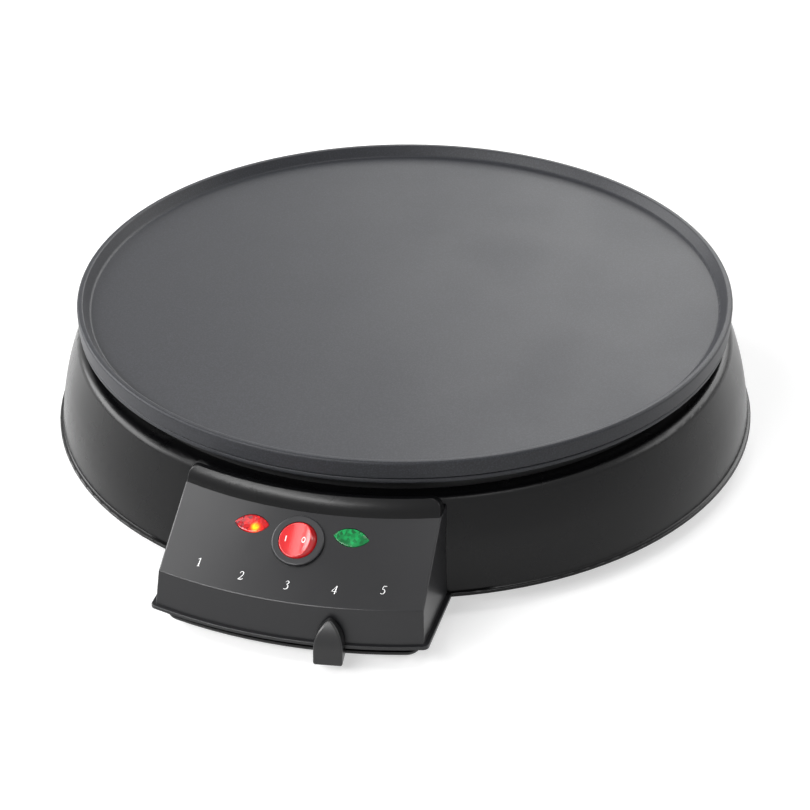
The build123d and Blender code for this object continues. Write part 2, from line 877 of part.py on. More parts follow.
with BuildPart() as thermostat_bracket:
    with BuildSketch(Plane.XY.offset(thermostat_z - bracket_thickness)):
        with Locations((0, pivot_y)):
            RectangleRounded(bracket_length, bracket_width, bracket_width / 4)
            Circle(thermostat_neck_radius + fit_clearance, mode=Mode.SUBTRACT)
        with Locations(*bracket_points):
            Circle(small_screw_radius + screw_clearance, mode=Mode.SUBTRACT)
    extrude(amount=bracket_thickness)
finish(thermostat_bracket, "thermostat_bracket")

for count, (x, y) in enumerate(bracket_points, 1):
    make_screw(
        Plane((x, y, thermostat_z - bracket_thickness)),
        small_screw_radius,
        small_screw_head,
        small_screw_length,
        f"bracket_screw_{count}",
    )

# the lever's own directions: along the arm, and across it
arm_way = Vector(sin(radians(lever_rest_angle)), -cos(radians(lever_rest_angle)), 0)
arm_side = Vector(cos(radians(lever_rest_angle)), sin(radians(lever_rest_angle)), 0)
lever_plane = Plane(origin=(0, pivot_y, 0), x_dir=arm_way, z_dir=(0, 0, 1))
lever_top_z = lever_z + lever_hub_height
set_screw_z = (lever_z + lever_thickness + lever_top_z) / 2

with BuildPart() as thermostat_shaft:
    with BuildSketch(lever_plane.offset(lever_z)):
        Circle(shaft_radius)
    extrude(amount=shaft_top_z - lever_z)
    with BuildSketch(lever_plane.offset(tray_z + cover_thickness / 2)):
        Circle(shaft_tip_radius)
    extrude(amount=lever_z - tray_z - cover_thickness / 2)
    with BuildSketch(lever_plane.offset(lever_z)):
        with Locations((-shaft_flat - shaft_radius, 0)):
            Rectangle(2 * shaft_radius, 2 * shaft_radius)
    extrude(amount=lever_hub_height, mode=Mode.SUBTRACT)
finish(thermostat_shaft, "thermostat_shaft")

# the knob swings on a wider arc than the box's front, so its back clears the wall at both ends
swing_loss = (
    (box_foot_radius + pivot_y)
    * -pivot_y
    * (1 - cos(radians(lever_end_angle)))
    / box_foot_radius
)
knob_back = box_foot_radius + pivot_y + swing_loss + knob_swing_clearance
knob_lip_back = knob_back + box_front_lip
knob_root_back = knob_back - box_foot_radius + tray_front_radius
knob_z = lip_z - knob_drop
knob_side_z = knob_z + knob_side_height
knob_top_z = knob_z + knob_height
knob_ledge_z = lip_top_z + knob_lip_gap
arm_tip = knob_lip_back + lever_thickness / 2
knob_arch_plane = Plane(origin=(0, pivot_y, 0), x_dir=arm_side, z_dir=arm_way)
knob_side_plane = Plane(origin=(0, pivot_y, 0), x_dir=arm_way, z_dir=-arm_side)


def knob_back_at(z):
    """The knob's back above the lip: it leans in as the control box's front does."""
    return knob_back - (z - lip_z) * box_flare / (box_front_z - lip_z)


with BuildPart() as temperature_lever:
    # the knob: a pointed arch, seen along the arm, under a front that leans back as it rises
    with BuildSketch(knob_arch_plane.offset(knob_root_back)) as knob_arch:
        with BuildLine():
            Polyline(
                (-knob_half_width, knob_side_z),
                (-knob_half_width, knob_z),
                (knob_half_width, knob_z),
                (knob_half_width, knob_side_z),
            )
            for side in (-1, 1):
                TangentArc(
                    (side * knob_half_width, knob_side_z), (0, knob_top_z), tangent=(0, 1)
                )
        make_face()
        fillet(knob_arch.vertices().sort_by(Axis.Y)[-1], knob_tip_fillet)
        fillet(knob_arch.vertices().sort_by(Axis.Y)[:2], knob_corner)
    extrude(amount=knob_back - knob_root_back + 2 * knob_depth)
    with BuildSketch(knob_side_plane):
        with BuildLine():
            TangentArc(
                (knob_back + knob_depth, knob_z),
                (knob_back_at(knob_top_z) + knob_top_depth, knob_top_z),
                tangent=(0, 1),
            )
            Polyline(
                (knob_back_at(knob_top_z) + knob_top_depth, knob_top_z),
                (knob_back_at(knob_top_z), knob_top_z),
                (knob_back_at(knob_ledge_z), knob_ledge_z),
                (knob_lip_back, knob_ledge_z),
                (knob_lip_back, lip_z - knob_lip_gap),
                (knob_root_back, lip_z - knob_lip_gap),
                (knob_root_back, knob_z),
                (knob_back + knob_depth, knob_z),
            )
        make_face()
    extrude(amount=2 * knob_half_width, both=True, mode=Mode.INTERSECT)
    knob_front = temperature_lever.faces().sort_by(Axis((0, 0, 0), arm_way))[-1]
    fillet(knob_front.edges(), knob_edge_fillet)
    with BuildSketch(lever_plane.offset(lever_z)):
        with BuildLine():
            Polyline(
                (0, -lever_arm_root / 2),
                (arm_tip, -lever_arm_end / 2),
                (arm_tip, lever_arm_end / 2),
                (0, lever_arm_root / 2),
                close=True,
            )
        make_face()
    extrude(amount=lever_thickness)
    with BuildSketch(lever_plane.offset(lever_z)):
        Circle(lever_hub_radius)
    extrude(amount=lever_hub_height)
    with BuildSketch(lever_plane.offset(lever_z)):
        Circle(shaft_radius + running_clearance)
        with Locations((-shaft_flat - running_clearance - shaft_radius, 0)):
            Rectangle(2 * shaft_radius, 4 * shaft_radius, mode=Mode.SUBTRACT)
    extrude(amount=lever_hub_height, mode=Mode.SUBTRACT)
    set_screw_plane = Plane(
        origin=Vector(0, pivot_y, set_screw_z) - arm_way * shaft_flat,
        x_dir=arm_side,
        z_dir=-arm_way,
    )
    with BuildSketch(set_screw_plane):
        Circle(small_screw_radius + screw_clearance)
    extrude(amount=2 * lever_hub_radius, mode=Mode.SUBTRACT)
finish(temperature_lever, "temperature_lever")

with BuildPart() as lever_set_screw:
    with BuildSketch(set_screw_plane):
        Circle(small_screw_radius)
    extrude(amount=lever_hub_radius - shaft_flat)
    with BuildSketch(set_screw_plane.offset(lever_hub_radius - shaft_flat)):
        RegularPolygon(set_screw_hex_radius, 6)
    extrude(amount=-set_screw_hex_depth, mode=Mode.SUBTRACT)
finish(lever_set_screw, "lever_set_screw")


# Power switch ------------------------------------------------------------------------------

switch_seat = switch_plane.offset(-bezel_recess)
switch_top = switch_seat.offset(bezel_height)
rocker_centre = switch_top.origin - switch_top.z_dir * rocker_axis_depth
rocker_plane = Plane(origin=rocker_centre, x_dir=switch_top.x_dir, z_dir=switch_top.z_dir)
rocker_axis = Axis(rocker_centre, switch_top.y_dir)
ball_hole_radius = rocker_ball_radius + rocker_gap
pin_reach = (ball_hole_radius + switch_body_radius) / 2

with BuildPart() as switch_body:
    with BuildSketch(switch_seat):
        Circle(bezel_radius)
    extrude(amount=bezel_height)
    bezel_edge = switch_body.edges().sort_by(Axis((0, 0, 0), switch_seat.z_dir))[-1]
    fillet(bezel_edge, bezel_edge_fillet)
    with BuildSketch(switch_seat):
        Circle(switch_body_radius)
    extrude(amount=-switch_body_depth)
    with Locations(rocker_plane):
        Sphere(ball_hole_radius, mode=Mode.SUBTRACT)
    with BuildSketch(rocker_plane):
        Circle(sqrt(ball_hole_radius**2 - rocker_axis_depth**2))
    extrude(amount=2 * rocker_axis_depth, mode=Mode.SUBTRACT)
    pin_plane = Plane(
        origin=rocker_centre - rocker_axis.direction * pin_reach,
        x_dir=rocker_plane.x_dir,
        z_dir=rocker_axis.direction,
    )
    with BuildSketch(pin_plane.offset(-rocker_gap)):
        Circle(rocker_pin_radius + running_clearance)
    extrude(amount=2 * (pin_reach + rocker_gap), mode=Mode.SUBTRACT)
finish(switch_body, "switch_body")

with BuildPart() as switch_terminals:
    with BuildSketch(switch_seat.offset(-switch_body_depth)):
        with GridLocations(terminal_gap, 0, 3, 1):
            Rectangle(terminal_thickness, terminal_width)
    extrude(amount=-terminal_length)
finish(switch_terminals, "switch_terminals")

# the rocker is a ball with a flat foot and a dished face, turned so that its left end is in
rocker_turned = rocker_plane.rotated((0, -rocker_tilt, 0))
with BuildPart() as power_rocker:
    with Locations(rocker_plane):
        Sphere(rocker_ball_radius)
    with BuildSketch(
        Plane(rocker_centre, x_dir=rocker_turned.x_dir, z_dir=-rocker_axis.direction)
    ):
        with Locations((0, rocker_ball_radius / 2)):
            Rectangle(2 * rocker_ball_radius, 2 * rocker_ball_radius)
        with Locations((0, rocker_rise + rocker_dish_radius)):
            Circle(rocker_dish_radius, mode=Mode.SUBTRACT)
    extrude(amount=2 * rocker_ball_radius, both=True, mode=Mode.INTERSECT)
    with BuildSketch(pin_plane):
        Circle(rocker_pin_radius)
    extrude(amount=2 * pin_reach)
finish(power_rocker, "power_rocker")


# Pilot lights ------------------------------------------------------------------------------

lens_back = wall + lens_flange_gap
holder_top = lens_back + lens_flange
holder_radius = lens_width / 2

for light_name, light_plane in light_planes.items():
    with BuildPart() as lens:
        with BuildSketch(light_plane.offset(-lens_back)):
            add(make_lens_outline(0))
        extrude(amount=lens_back + lens_proud)
        fillet(
            lens.faces().sort_by(Axis((0, 0, 0), light_plane.z_dir))[-1].edges(),
            0.7 * lens_proud,
        )
        with BuildSketch(light_plane.offset(-lens_back)):
            add(make_lens_outline(lens_flange))
        extrude(amount=-lens_flange)
    finish(lens, f"{light_name}_lens")

    with BuildPart() as holder:
        with BuildSketch(light_plane.offset(-holder_top)):
            Circle(holder_radius)
            Circle(lamp_radius + lamp_clearance, mode=Mode.SUBTRACT)
        extrude(amount=-holder_length)
        with BuildSketch(light_plane.offset(-holder_top - holder_length)):
            Circle(holder_radius)
            Circle(lamp_radius / 2, mode=Mode.SUBTRACT)
        extrude(amount=-holder_floor)
    finish(holder, f"{light_name}_lamp_holder")

    with BuildPart() as lamp:
        with BuildSketch(light_plane.offset(-holder_top - lamp_setback)):
            Circle(lamp_radius)
        extrude(amount=lamp_setback - holder_length)
        fillet(
            lamp.edges().sort_by(Axis((0, 0, 0), light_plane.z_dir))[-1], lamp_radius * 0.8
        )
    finish(lamp, f"{light_name}_lamp")


# Electrical pieces inside ------------------------------------------------------------------

fuse_z = underside_z - fuse_radius
with BuildPart() as thermal_fuse:
    fuse_plane = Plane(
        origin=(fuse_x - fuse_length / 2, fuse_y, fuse_z),
        x_dir=(0, 1, 0),
        z_dir=(1, 0, 0),
    )
    with BuildSketch(fuse_plane):
        Circle(fuse_radius)
    extrude(amount=fuse_length)
    chamfer(thermal_fuse.edges().filter_by(GeomType.CIRCLE), fuse_chamfer)
    with BuildSketch(fuse_plane.offset(-fuse_lead_length)):
        Circle(fuse_lead_radius)
    extrude(amount=fuse_length + 2 * fuse_lead_length)
finish(thermal_fuse, "thermal_fuse")

with BuildPart() as fuse_clip:
    clip_plane = Plane(
        origin=(fuse_x - clip_width / 2, fuse_y, fuse_z),
        x_dir=(0, 1, 0),
        z_dir=(1, 0, 0),
    )
    with BuildSketch(clip_plane):
        clip_radius = fuse_radius + running_clearance
        Circle(clip_radius + clip_thickness)
        with Locations((0, fuse_radius)):
            Rectangle(2 * clip_radius + 2 * clip_thickness, 2 * fuse_radius)
        with Locations((-clip_radius - clip_tab / 2, fuse_radius - clip_thickness / 2)):
            Rectangle(clip_tab, clip_thickness)
        with Locations((0, fuse_radius)):
            Rectangle(2 * clip_radius, 2 * fuse_radius, mode=Mode.SUBTRACT)
        Circle(clip_radius, mode=Mode.SUBTRACT)
        with Locations((0, 2 * fuse_radius)):
            Rectangle(6 * fuse_radius, 2 * fuse_radius, mode=Mode.SUBTRACT)
    extrude(amount=clip_width)
finish(fuse_clip, "fuse_clip")

with BuildPart() as terminal_block:
    with BuildSketch(Plane.XY.offset(tray_floor_z)):
        with Locations((0, block_y)):
            RectangleRounded(block_length, block_width, block_corner)
    extrude(amount=block_height)
    with BuildSketch(Plane.XY.offset(tray_floor_z + block_height)):
        with Locations((0, block_y)):
            with GridLocations(block_length / 3, block_width / 2, 3, 2):
                Circle(block_hole_radius)
    extrude(amount=-block_height / 2, mode=Mode.SUBTRACT)
finish(terminal_block, "terminal_block")

with BuildPart() as earth_tab:
    with BuildSketch(Plane.XY.offset(shield_z)):
        with Locations((earth_x, earth_y)):
            RectangleRounded(earth_length, earth_width, earth_corner)
    extrude(amount=-spade_thickness)
    with BuildSketch(Plane.XY.offset(shield_z)):
        with Locations((earth_x + (earth_length - spade_thickness) / 2, earth_y)):
            Rectangle(spade_thickness, spade_width)
    extrude(amount=-spade_root - spade_length)
finish(earth_tab, "earth_tab")

with BuildPart() as cord_gland:
    with BuildSketch(gland_plane):
        Circle(gland_flange_radius)
    extrude(amount=gland_flange_thickness)
    fillet(cord_gland.edges().sort_by(Axis.Y)[-1], gland_edge_fillet)
    with BuildSketch(gland_plane):
        Circle(gland_body_radius)
    extrude(amount=gland_flange_thickness - gland_length)
    with BuildSketch(gland_plane.offset(-wall - gland_collar_gap)):
        Circle(gland_body_radius + gland_collar_rise)
    extrude(amount=-gland_collar_length)
    with BuildSketch(gland_plane.offset(gland_flange_thickness)):
        Circle(gland_bore_radius)
    extrude(amount=-gland_length, mode=Mode.SUBTRACT)
finish(cord_gland, "cord_gland")
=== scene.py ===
"""Looks of an electric crepe maker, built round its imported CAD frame.

The CAD nodes keep their shapes and take the finishes of their real materials. The housing's
joined copy, the rocker with its marks, the pilot lenses and the printed figures are made here.
Lengths are in millimetres until they reach Blender, which works in metres.
"""

import json
import logging
from dataclasses import dataclass, field
from enum import Enum
from math import cos, pi, radians, sin, sqrt, tan
from typing import Any, Iterable

import bpy
from mathutils import Matrix, Quaternion, Vector


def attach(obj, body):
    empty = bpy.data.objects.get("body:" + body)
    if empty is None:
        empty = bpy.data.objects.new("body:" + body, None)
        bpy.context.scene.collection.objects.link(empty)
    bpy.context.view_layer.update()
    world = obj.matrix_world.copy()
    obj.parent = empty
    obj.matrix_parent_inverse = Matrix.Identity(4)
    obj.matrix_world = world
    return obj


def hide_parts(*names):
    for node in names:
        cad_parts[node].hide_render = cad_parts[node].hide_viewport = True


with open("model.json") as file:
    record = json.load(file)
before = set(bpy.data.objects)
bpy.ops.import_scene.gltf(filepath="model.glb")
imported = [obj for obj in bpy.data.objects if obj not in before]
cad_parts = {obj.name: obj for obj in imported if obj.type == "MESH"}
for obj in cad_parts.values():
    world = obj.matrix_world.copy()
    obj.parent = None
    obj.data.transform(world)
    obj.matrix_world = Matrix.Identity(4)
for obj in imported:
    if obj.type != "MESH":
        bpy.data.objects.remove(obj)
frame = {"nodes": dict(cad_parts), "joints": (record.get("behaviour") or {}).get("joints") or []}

LOG = logging.getLogger("crepe_maker")
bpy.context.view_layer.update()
MM = 0.001
# Points closer than this, in mm, are one.
DOUBLE = 0.001

Tree = bpy.types.NodeTree
Socket = bpy.types.NodeSocket
Piece = bpy.types.Object


# Small helpers -----------------------------------------------------------------------------


def linear(code: str) -> tuple[float, float, float, float]:
    """Turns a colour's sRGB hex code to the linear values that a shader takes.

    The curve's numbers are those of the sRGB standard.

    Args:
        code: The colour as "#rrggbb".

    Returns:
        Linear red, green and blue, and an alpha of 1.
    """
    shares = [int(code[i : i + 2], 16) / 255 for i in (1, 3, 5)]
    red, green, blue = (
        s / 12.92 if s <= 0.04045 else ((s + 0.055) / 1.055) ** 2.4 for s in shares
    )
    return red, green, blue, 1.0


def add_node(
    tree: Tree, kind: str, inputs: dict[str | int, Any] | None = None, **settings: Any
) -> bpy.types.Node:
    """Adds a shader node with its settings, and its sockets' values or links.

    Args:
        tree: The node tree that gets the node.
        kind: The node's type name.
        inputs: Values or output sockets for its input sockets, by name or number.
        **settings: The node's own properties.

    Returns:
        The new node.
    """
    node = tree.nodes.new(kind)
    for name, value in settings.items():
        setattr(node, name, value)
    for name, value in (inputs or {}).items():
        if isinstance(value, bpy.types.NodeSocket):
            tree.links.new(value, node.inputs[name])
        else:
            node.inputs[name].default_value = value
    return node


def select_only(piece: Piece) -> None:
    """Selects one object and makes it the active one.

    Args:
        piece: The object to select.
    """
    bpy.ops.object.select_all(action="DESELECT")
    piece.select_set(True)
    bpy.context.view_layer.objects.active = piece


def new_piece(name: str) -> Piece:
    """Names the object that an operator has just added, and selects it alone.

    Args:
        name: The piece's name.

    Returns:
        The object.
    """
    piece = bpy.context.object
    piece.name = name
    piece.data.name = name
    select_only(piece)
    return piece


def apply_modifier(piece: Piece, kind: str, **settings: Any) -> None:
    """Adds a modifier to a piece and applies it at once.

    Args:
        piece: The piece to change.
        kind: The modifier's type name.
        **settings: The modifier's properties.
    """
    select_only(piece)
    modifier = piece.modifiers.new(kind.lower(), kind)
    for name, value in settings.items():
        setattr(modifier, name, value)
    bpy.ops.object.modifier_apply(modifier=modifier.name)


def outward(piece: Piece) -> None:
    """Merges a piece's doubled points and turns all its faces outwards.

    Args:
        piece: The piece to clean.
    """
    select_only(piece)
    bpy.ops.object.mode_set(mode="EDIT")
    bpy.ops.mesh.select_all(action="SELECT")
    bpy.ops.mesh.remove_doubles(threshold=DOUBLE * MM)
    bpy.ops.mesh.normals_make_consistent(inside=False)
    bpy.ops.object.mode_set(mode="OBJECT")


def place_on(piece: Piece, seat: Matrix) -> None:
    """Moves a piece from its own flat frame to a seat, and puts that place into its mesh.

    Args:
        piece: The piece, modelled round the world's origin.
        seat: The seat's matrix in the row's frame.
    """
    select_only(piece)
    bpy.ops.object.transform_apply(location=True, rotation=True, scale=True)
    piece.matrix_world = seat
    bpy.ops.object.transform_apply(location=True, rotation=True, scale=True)


# Finishes ----------------------------------------------------------------------------------


@dataclass(frozen=True)
class Finish:
    """A surface finish: a name, and a shader that its subclass builds.

    Attributes:
        name: The material's name.
    """

    name: str

    def surface(self, tree: Tree) -> Socket:
        """Builds the shader. Each finish has its own."""
        raise NotImplementedError

    def material(self) -> bpy.types.Material:
        """Gives the finish's material, which is built at its first use.

        Returns:
            The material.
        """
        made = bpy.data.materials.get(self.name)
        if made is None:
            made = bpy.data.materials.new(self.name)
            made.use_nodes = True
            tree = made.node_tree
            tree.nodes.clear()
            add_node(tree, "ShaderNodeOutputMaterial", {"Surface": self.surface(tree)})
        return made

    def dress(self, pieces: Iterable[Piece]) -> None:
        """Gives the finish to pieces, in every material slot that they have.

        Args:
            pieces: The objects to dress.
        """
        for piece in pieces:
            if not piece.material_slots:
                piece.data.materials.append(self.material())
            for slot in piece.material_slots:
                slot.material = self.material()

    def spots(self, tree: Tree, size: float, detail: float = 2.0) -> Socket:
        """A cloudy pattern fixed to the object.

        Args:
            tree: The node tree.
            size: The width of a cloud, in mm.
            detail: How much finer structure it has.

        Returns:
            The pattern's value socket, round 0.5.
        """
        place = add_node(tree, "ShaderNodeTexCoord").outputs["Object"]
        noise = add_node(
            tree,
            "ShaderNodeTexNoise",
            {"Vector": place, "Scale": 1 / (size * MM), "Detail": detail},
        )
        return noise.outputs["Fac"]

    def spread(self, tree: Tree, value: Socket, low: float, high: float) -> Socket:
        """Stretches the middle of a cloudy pattern over a range.

        Args:
            tree: The node tree.
            value: The pattern.
            low: What its dark clouds become.
            high: What its light clouds become.

        Returns:
            The stretched value.
        """
        ramp = add_node(
            tree,
            "ShaderNodeMapRange",
            {"Value": value, "From Min": 0.25, "From Max": 0.75, "To Min": low, "To Max": high},
            interpolation_type="SMOOTHSTEP",
        )
        return ramp.outputs["Result"]

    def uneven(self, tree: Tree, clouds: Socket, middle: float, change: float) -> Socket:
        """Lets a roughness vary with a cloudy pattern.

        Args:
            tree: The node tree.
            clouds: The pattern.
            middle: The middle roughness.
            change: How far the clouds change it.

        Returns:
            The roughness.
        """
        return self.spread(tree, clouds, middle - change, middle + change)

    def tint(self, tree: Tree, share: Socket, first: str, second: str) -> Socket:
        """Mixes two colours by a pattern.

        Args:
            tree: The node tree.
            share: How much of the second colour shows.
            first: Hex code of the first colour.
            second: Hex code of the second colour.

        Returns:
            The mixed colour.
        """
        mix = add_node(tree, "ShaderNodeMix", {0: share}, data_type="RGBA")
        mix.inputs["A"].default_value = linear(first)
        mix.inputs["B"].default_value = linear(second)
        return mix.outputs["Result"]

    def relief(self, tree: Tree, height: Socket, depth: float) -> Socket:
        """Turns a pattern to a bumpy normal.

        Args:
            tree: The node tree.
            height: The pattern.
            depth: The bumps' height, in mm.

        Returns:
            The normal.
        """
        bump = add_node(
            tree, "ShaderNodeBump", {"Height": height, "Strength": 1.0, "Distance": depth * MM}
        )
        return bump.outputs["Normal"]


@dataclass(frozen=True)
class MouldedPlastic(Finish):
    """Injection-moulded plastic, such as ABS or PP.

    The mould's surface gives it a fine even texture, and handling leaves faint duller clouds.

    Attributes:
        colour: Hex code.
        roughness: Middle roughness.
        unevenness: How far the clouds change the roughness.
        grain: Width of the mould texture's grains, in mm.
        grain_depth: Their height, in mm.
        specular: Specular level.
        cloud: Width of a cloud, in mm.
        ior: Index of refraction.
    """

    colour: str = "#111112"
    roughness: float = 0.3
    unevenness: float = 0.025
    grain: float = 0.5
    grain_depth: float = 0.004
    specular: float = 0.45
    cloud: float = 30.0
    ior: float = 1.5

    def surface(self, tree: Tree) -> Socket:
        """Builds the plastic's shader.

        Args:
            tree: The node tree.

        Returns:
            The shader socket.
        """
        clouds = self.spots(tree, self.cloud, 3.0)
        shader = add_node(
            tree,
            "ShaderNodeBsdfPrincipled",
            {
                "Base Color": linear(self.colour),
                "Roughness": self.uneven(tree, clouds, self.roughness, self.unevenness),
                "IOR": self.ior,
                "Specular IOR Level": self.specular,
                "Normal": self.relief(tree, self.spots(tree, self.grain), self.grain_depth),
            },
        )
        return shader.outputs["BSDF"]


@dataclass(frozen=True)
class HousingPlastic(MouldedPlastic):
    """Black ABS with two mould finishes: polished on the round shell, satin on the control box.

    The satin begins where the control box leaves the shell's wall, so the two meet in a line.
    There the colour is also greyer: partly the satin skin's own tone, partly painted sheen.

    Attributes:
        box_tone_and_sheen: Hex code of the satin part, a little greyer: partly its own tone and
        partly painted sheen.
        box_roughness: Middle roughness of the satin part.
        box_specular: Specular level of the satin part.
        lip_radius: Outer radius of the round shell's lip, in mm.
        lip_top: Height of the lip's top, in mm.
        lip_spare: How far over its top a place still counts as the lip's, in mm.
        foot_radius: Outer radius of the shell's wall at the lip, in mm.
        top_radius: The same at the shoulder, in mm.
        top: Height of the shoulder, in mm.
        bulge: How far the wall bows out between them, in mm.
        margin: How far outside the wall the satin starts, in mm.
        box_top: Height where the satin ends, under the polished guard, in mm.
    """

    box_tone_and_sheen: str = "#1b1b1d"
    box_roughness: float = 0.3
    box_specular: float = 0.4
    lip_radius: float = 167.75
    lip_top: float = 11.0
    lip_spare: float = 0.05
    foot_radius: float = 166.1
    top_radius: float = 155.9
    top: float = 53.9
    bulge: float = 1.9
    margin: float = 0.35
    box_top: float = 50.45

    def box_share(self, tree: Tree) -> Socket:
        """Tells the control box from the round shell by the distance from the upright axis.

        Args:
            tree: The node tree.

        Returns:
            1 on the control box and 0 on the shell.
        """
        place = add_node(tree, "ShaderNodeTexCoord").outputs["Object"]
        axes = add_node(tree, "ShaderNodeSeparateXYZ", {"Vector": place})
        flat = add_node(
            tree, "ShaderNodeVectorMath", {0: place, 1: (1.0, 1.0, 0.0)}, operation="MULTIPLY"
        )
        reach = add_node(
            tree, "ShaderNodeVectorMath", {0: flat.outputs[0]}, operation="LENGTH"
        ).outputs["Value"]
        height = add_node(
            tree,
            "ShaderNodeMapRange",
            {
                "Value": axes.outputs["Z"],
                "From Min": self.lip_top * MM,
                "From Max": self.top * MM,
            },
        ).outputs["Result"]
        straight = add_node(
            tree,
            "ShaderNodeMapRange",
            {
                "Value": height,
                "To Min": (self.foot_radius + self.margin) * MM,
                "To Max": (self.top_radius + self.margin) * MM,
            },
        ).outputs["Result"]
        to_top = add_node(tree, "ShaderNodeMath", {0: 1.0, 1: height}, operation="SUBTRACT")
        bow = add_node(
            tree, "ShaderNodeMath", {0: height, 1: to_top.outputs[0]}, operation="MULTIPLY"
        )
        wall = add_node(
            tree,
            "ShaderNodeMath",
            {0: bow.outputs[0], 1: 4 * self.bulge * MM, 2: straight},
            operation="MULTIPLY_ADD",
        ).outputs[0]
        at_lip = add_node(
            tree,
            "ShaderNodeMath",
            {0: axes.outputs["Z"], 1: (self.lip_top + self.lip_spare) * MM},
            operation="LESS_THAN",
        )
        lip_extra = add_node(
            tree,
            "ShaderNodeMath",
            {
                0: at_lip.outputs[0],
                1: (self.lip_radius - self.foot_radius) * MM,
                2: wall,
            },
            operation="MULTIPLY_ADD",
        )
        outside = add_node(
            tree, "ShaderNodeMath", {0: reach, 1: lip_extra.outputs[0]}, operation="GREATER_THAN"
        )
        under_guard = add_node(
            tree, "ShaderNodeMath", {0: axes.outputs["Z"], 1: self.box_top * MM},
            operation="LESS_THAN",
        )
        share = add_node(
            tree, "ShaderNodeMath", {0: outside.outputs[0], 1: under_guard.outputs[0]},
            operation="MULTIPLY",
        )
        return share.outputs[0]

    def surface(self, tree: Tree) -> Socket:
        """Builds the two finishes' shader.

        Args:
            tree: The node tree.

        Returns:
            The shader socket.
        """
        share = self.box_share(tree)
        clouds = self.spots(tree, self.cloud, 3.0)
        shell = self.uneven(tree, clouds, self.roughness, self.unevenness)
        box = self.uneven(tree, clouds, self.box_roughness, self.unevenness)
        rough = add_node(tree, "ShaderNodeMix", {"Factor": share, "A": shell, "B": box})
        grain = add_node(
            tree,
            "ShaderNodeMath",
            {0: self.spots(tree, self.grain), 1: share},
            operation="MULTIPLY",
        )
        gloss = add_node(
            tree, "ShaderNodeMix", {"Factor": share, "A": self.specular, "B": self.box_specular}
        )
        shader = add_node(
            tree,
            "ShaderNodeBsdfPrincipled",
            {
                # The box's greyer colour is partly its own tone and partly painted sheen.
                "Base Color": self.tint(tree, share, self.colour, self.box_tone_and_sheen),
                "Roughness": rough.outputs["Result"],
                "IOR": self.ior,
                "Specular IOR Level": gloss.outputs["Result"],
                "Normal": self.relief(tree, grain.outputs[0], self.grain_depth),
            },
        )
        return shader.outputs["BSDF"]


@dataclass(frozen=True)
class NonStickCoating(Finish):
    """Sprayed PTFE coating on cast aluminium.

    It is a satin dark grey with faint lighter specks of filler and the sprayed coat's low,
    leathery relief.

    Attributes:
        colour: Hex code of the coat.
        speck_colour: Hex code of the specks.
        roughness: Middle roughness.
        unevenness: How far wiping and heat change it.
        cloud: Width of the clouds that they leave, in mm.
        speck: Width of a speck, in mm. Real ones are finer; these are as coarse as show.
        speck_low: Where the specks' pattern starts; the lower, the fewer specks.
        relief_width: Width of the coat's waves, in mm.
        relief_depth: Their height, in mm.
        ior: Index of refraction.
        specular: Specular level.
    """

    colour: str = "#2b2c2f"
    speck_colour: str = "#34353a"
    roughness: float = 0.42
    unevenness: float = 0.02
    cloud: float = 45.0
    speck: float = 0.7
    speck_low: float = -0.6
    relief_width: float = 1.4
    relief_depth: float = 0.004
    ior: float = 1.4
    specular: float = 0.3

    def surface(self, tree: Tree) -> Socket:
        """Builds the coating's shader.

        Args:
            tree: The node tree.

        Returns:
            The shader socket.
        """
        specks = self.spread(tree, self.spots(tree, self.speck, 1.0), self.speck_low, 1.0)
        clouds = self.spots(tree, self.cloud, 3.0)
        shader = add_node(
            tree,
            "ShaderNodeBsdfPrincipled",
            {
                "Base Color": self.tint(tree, specks, self.colour, self.speck_colour),
                "Roughness": self.uneven(tree, clouds, self.roughness, self.unevenness),
                "IOR": self.ior,
                "Specular IOR Level": self.specular,
                "Normal": self.relief(
                    tree, self.spots(tree, self.relief_width), self.relief_depth
                ),
            },
        )
        return shader.outputs["BSDF"]


@dataclass(frozen=True)
class Metal(Finish):
    """Bare or plated metal with duller clouds and fine working marks.

    Attributes:
        colour: Hex code of the clean metal.
        dull_colour: Hex code of its clouds, from tarnish, heat or the plating bath.
        roughness: Roughness of the clean metal.
        dull_roughness: Roughness of the clouds.
        cloud: Width of a cloud, in mm.
        grain: Width of the working marks, in mm.
        grain_depth: Their height, in mm.
    """

    colour: str = "#c9cacc"
    dull_colour: str = "#a9abae"
    roughness: float = 0.25
    dull_roughness: float = 0.4
    cloud: float = 3.0
    grain: float = 0.3
    grain_depth: float = 0.003

    def surface(self, tree: Tree) -> Socket:
        """Builds the metal's shader.

        Args:
            tree: The node tree.

        Returns:
            The shader socket.
        """
        clouds = self.spread(tree, self.spots(tree, self.cloud, 3.0), 0.0, 1.0)
        rough = add_node(
            tree,
            "ShaderNodeMix",
            {"Factor": clouds, "A": self.roughness, "B": self.dull_roughness},
        )
        shader = add_node(
            tree,
            "ShaderNodeBsdfPrincipled",
            {
                "Base Color": self.tint(tree, clouds, self.colour, self.dull_colour),
                "Metallic": 1.0,
                "Roughness": rough.outputs["Result"],
                "Normal": self.relief(tree, self.spots(tree, self.grain), self.grain_depth),
            },
        )
        return shader.outputs["BSDF"]


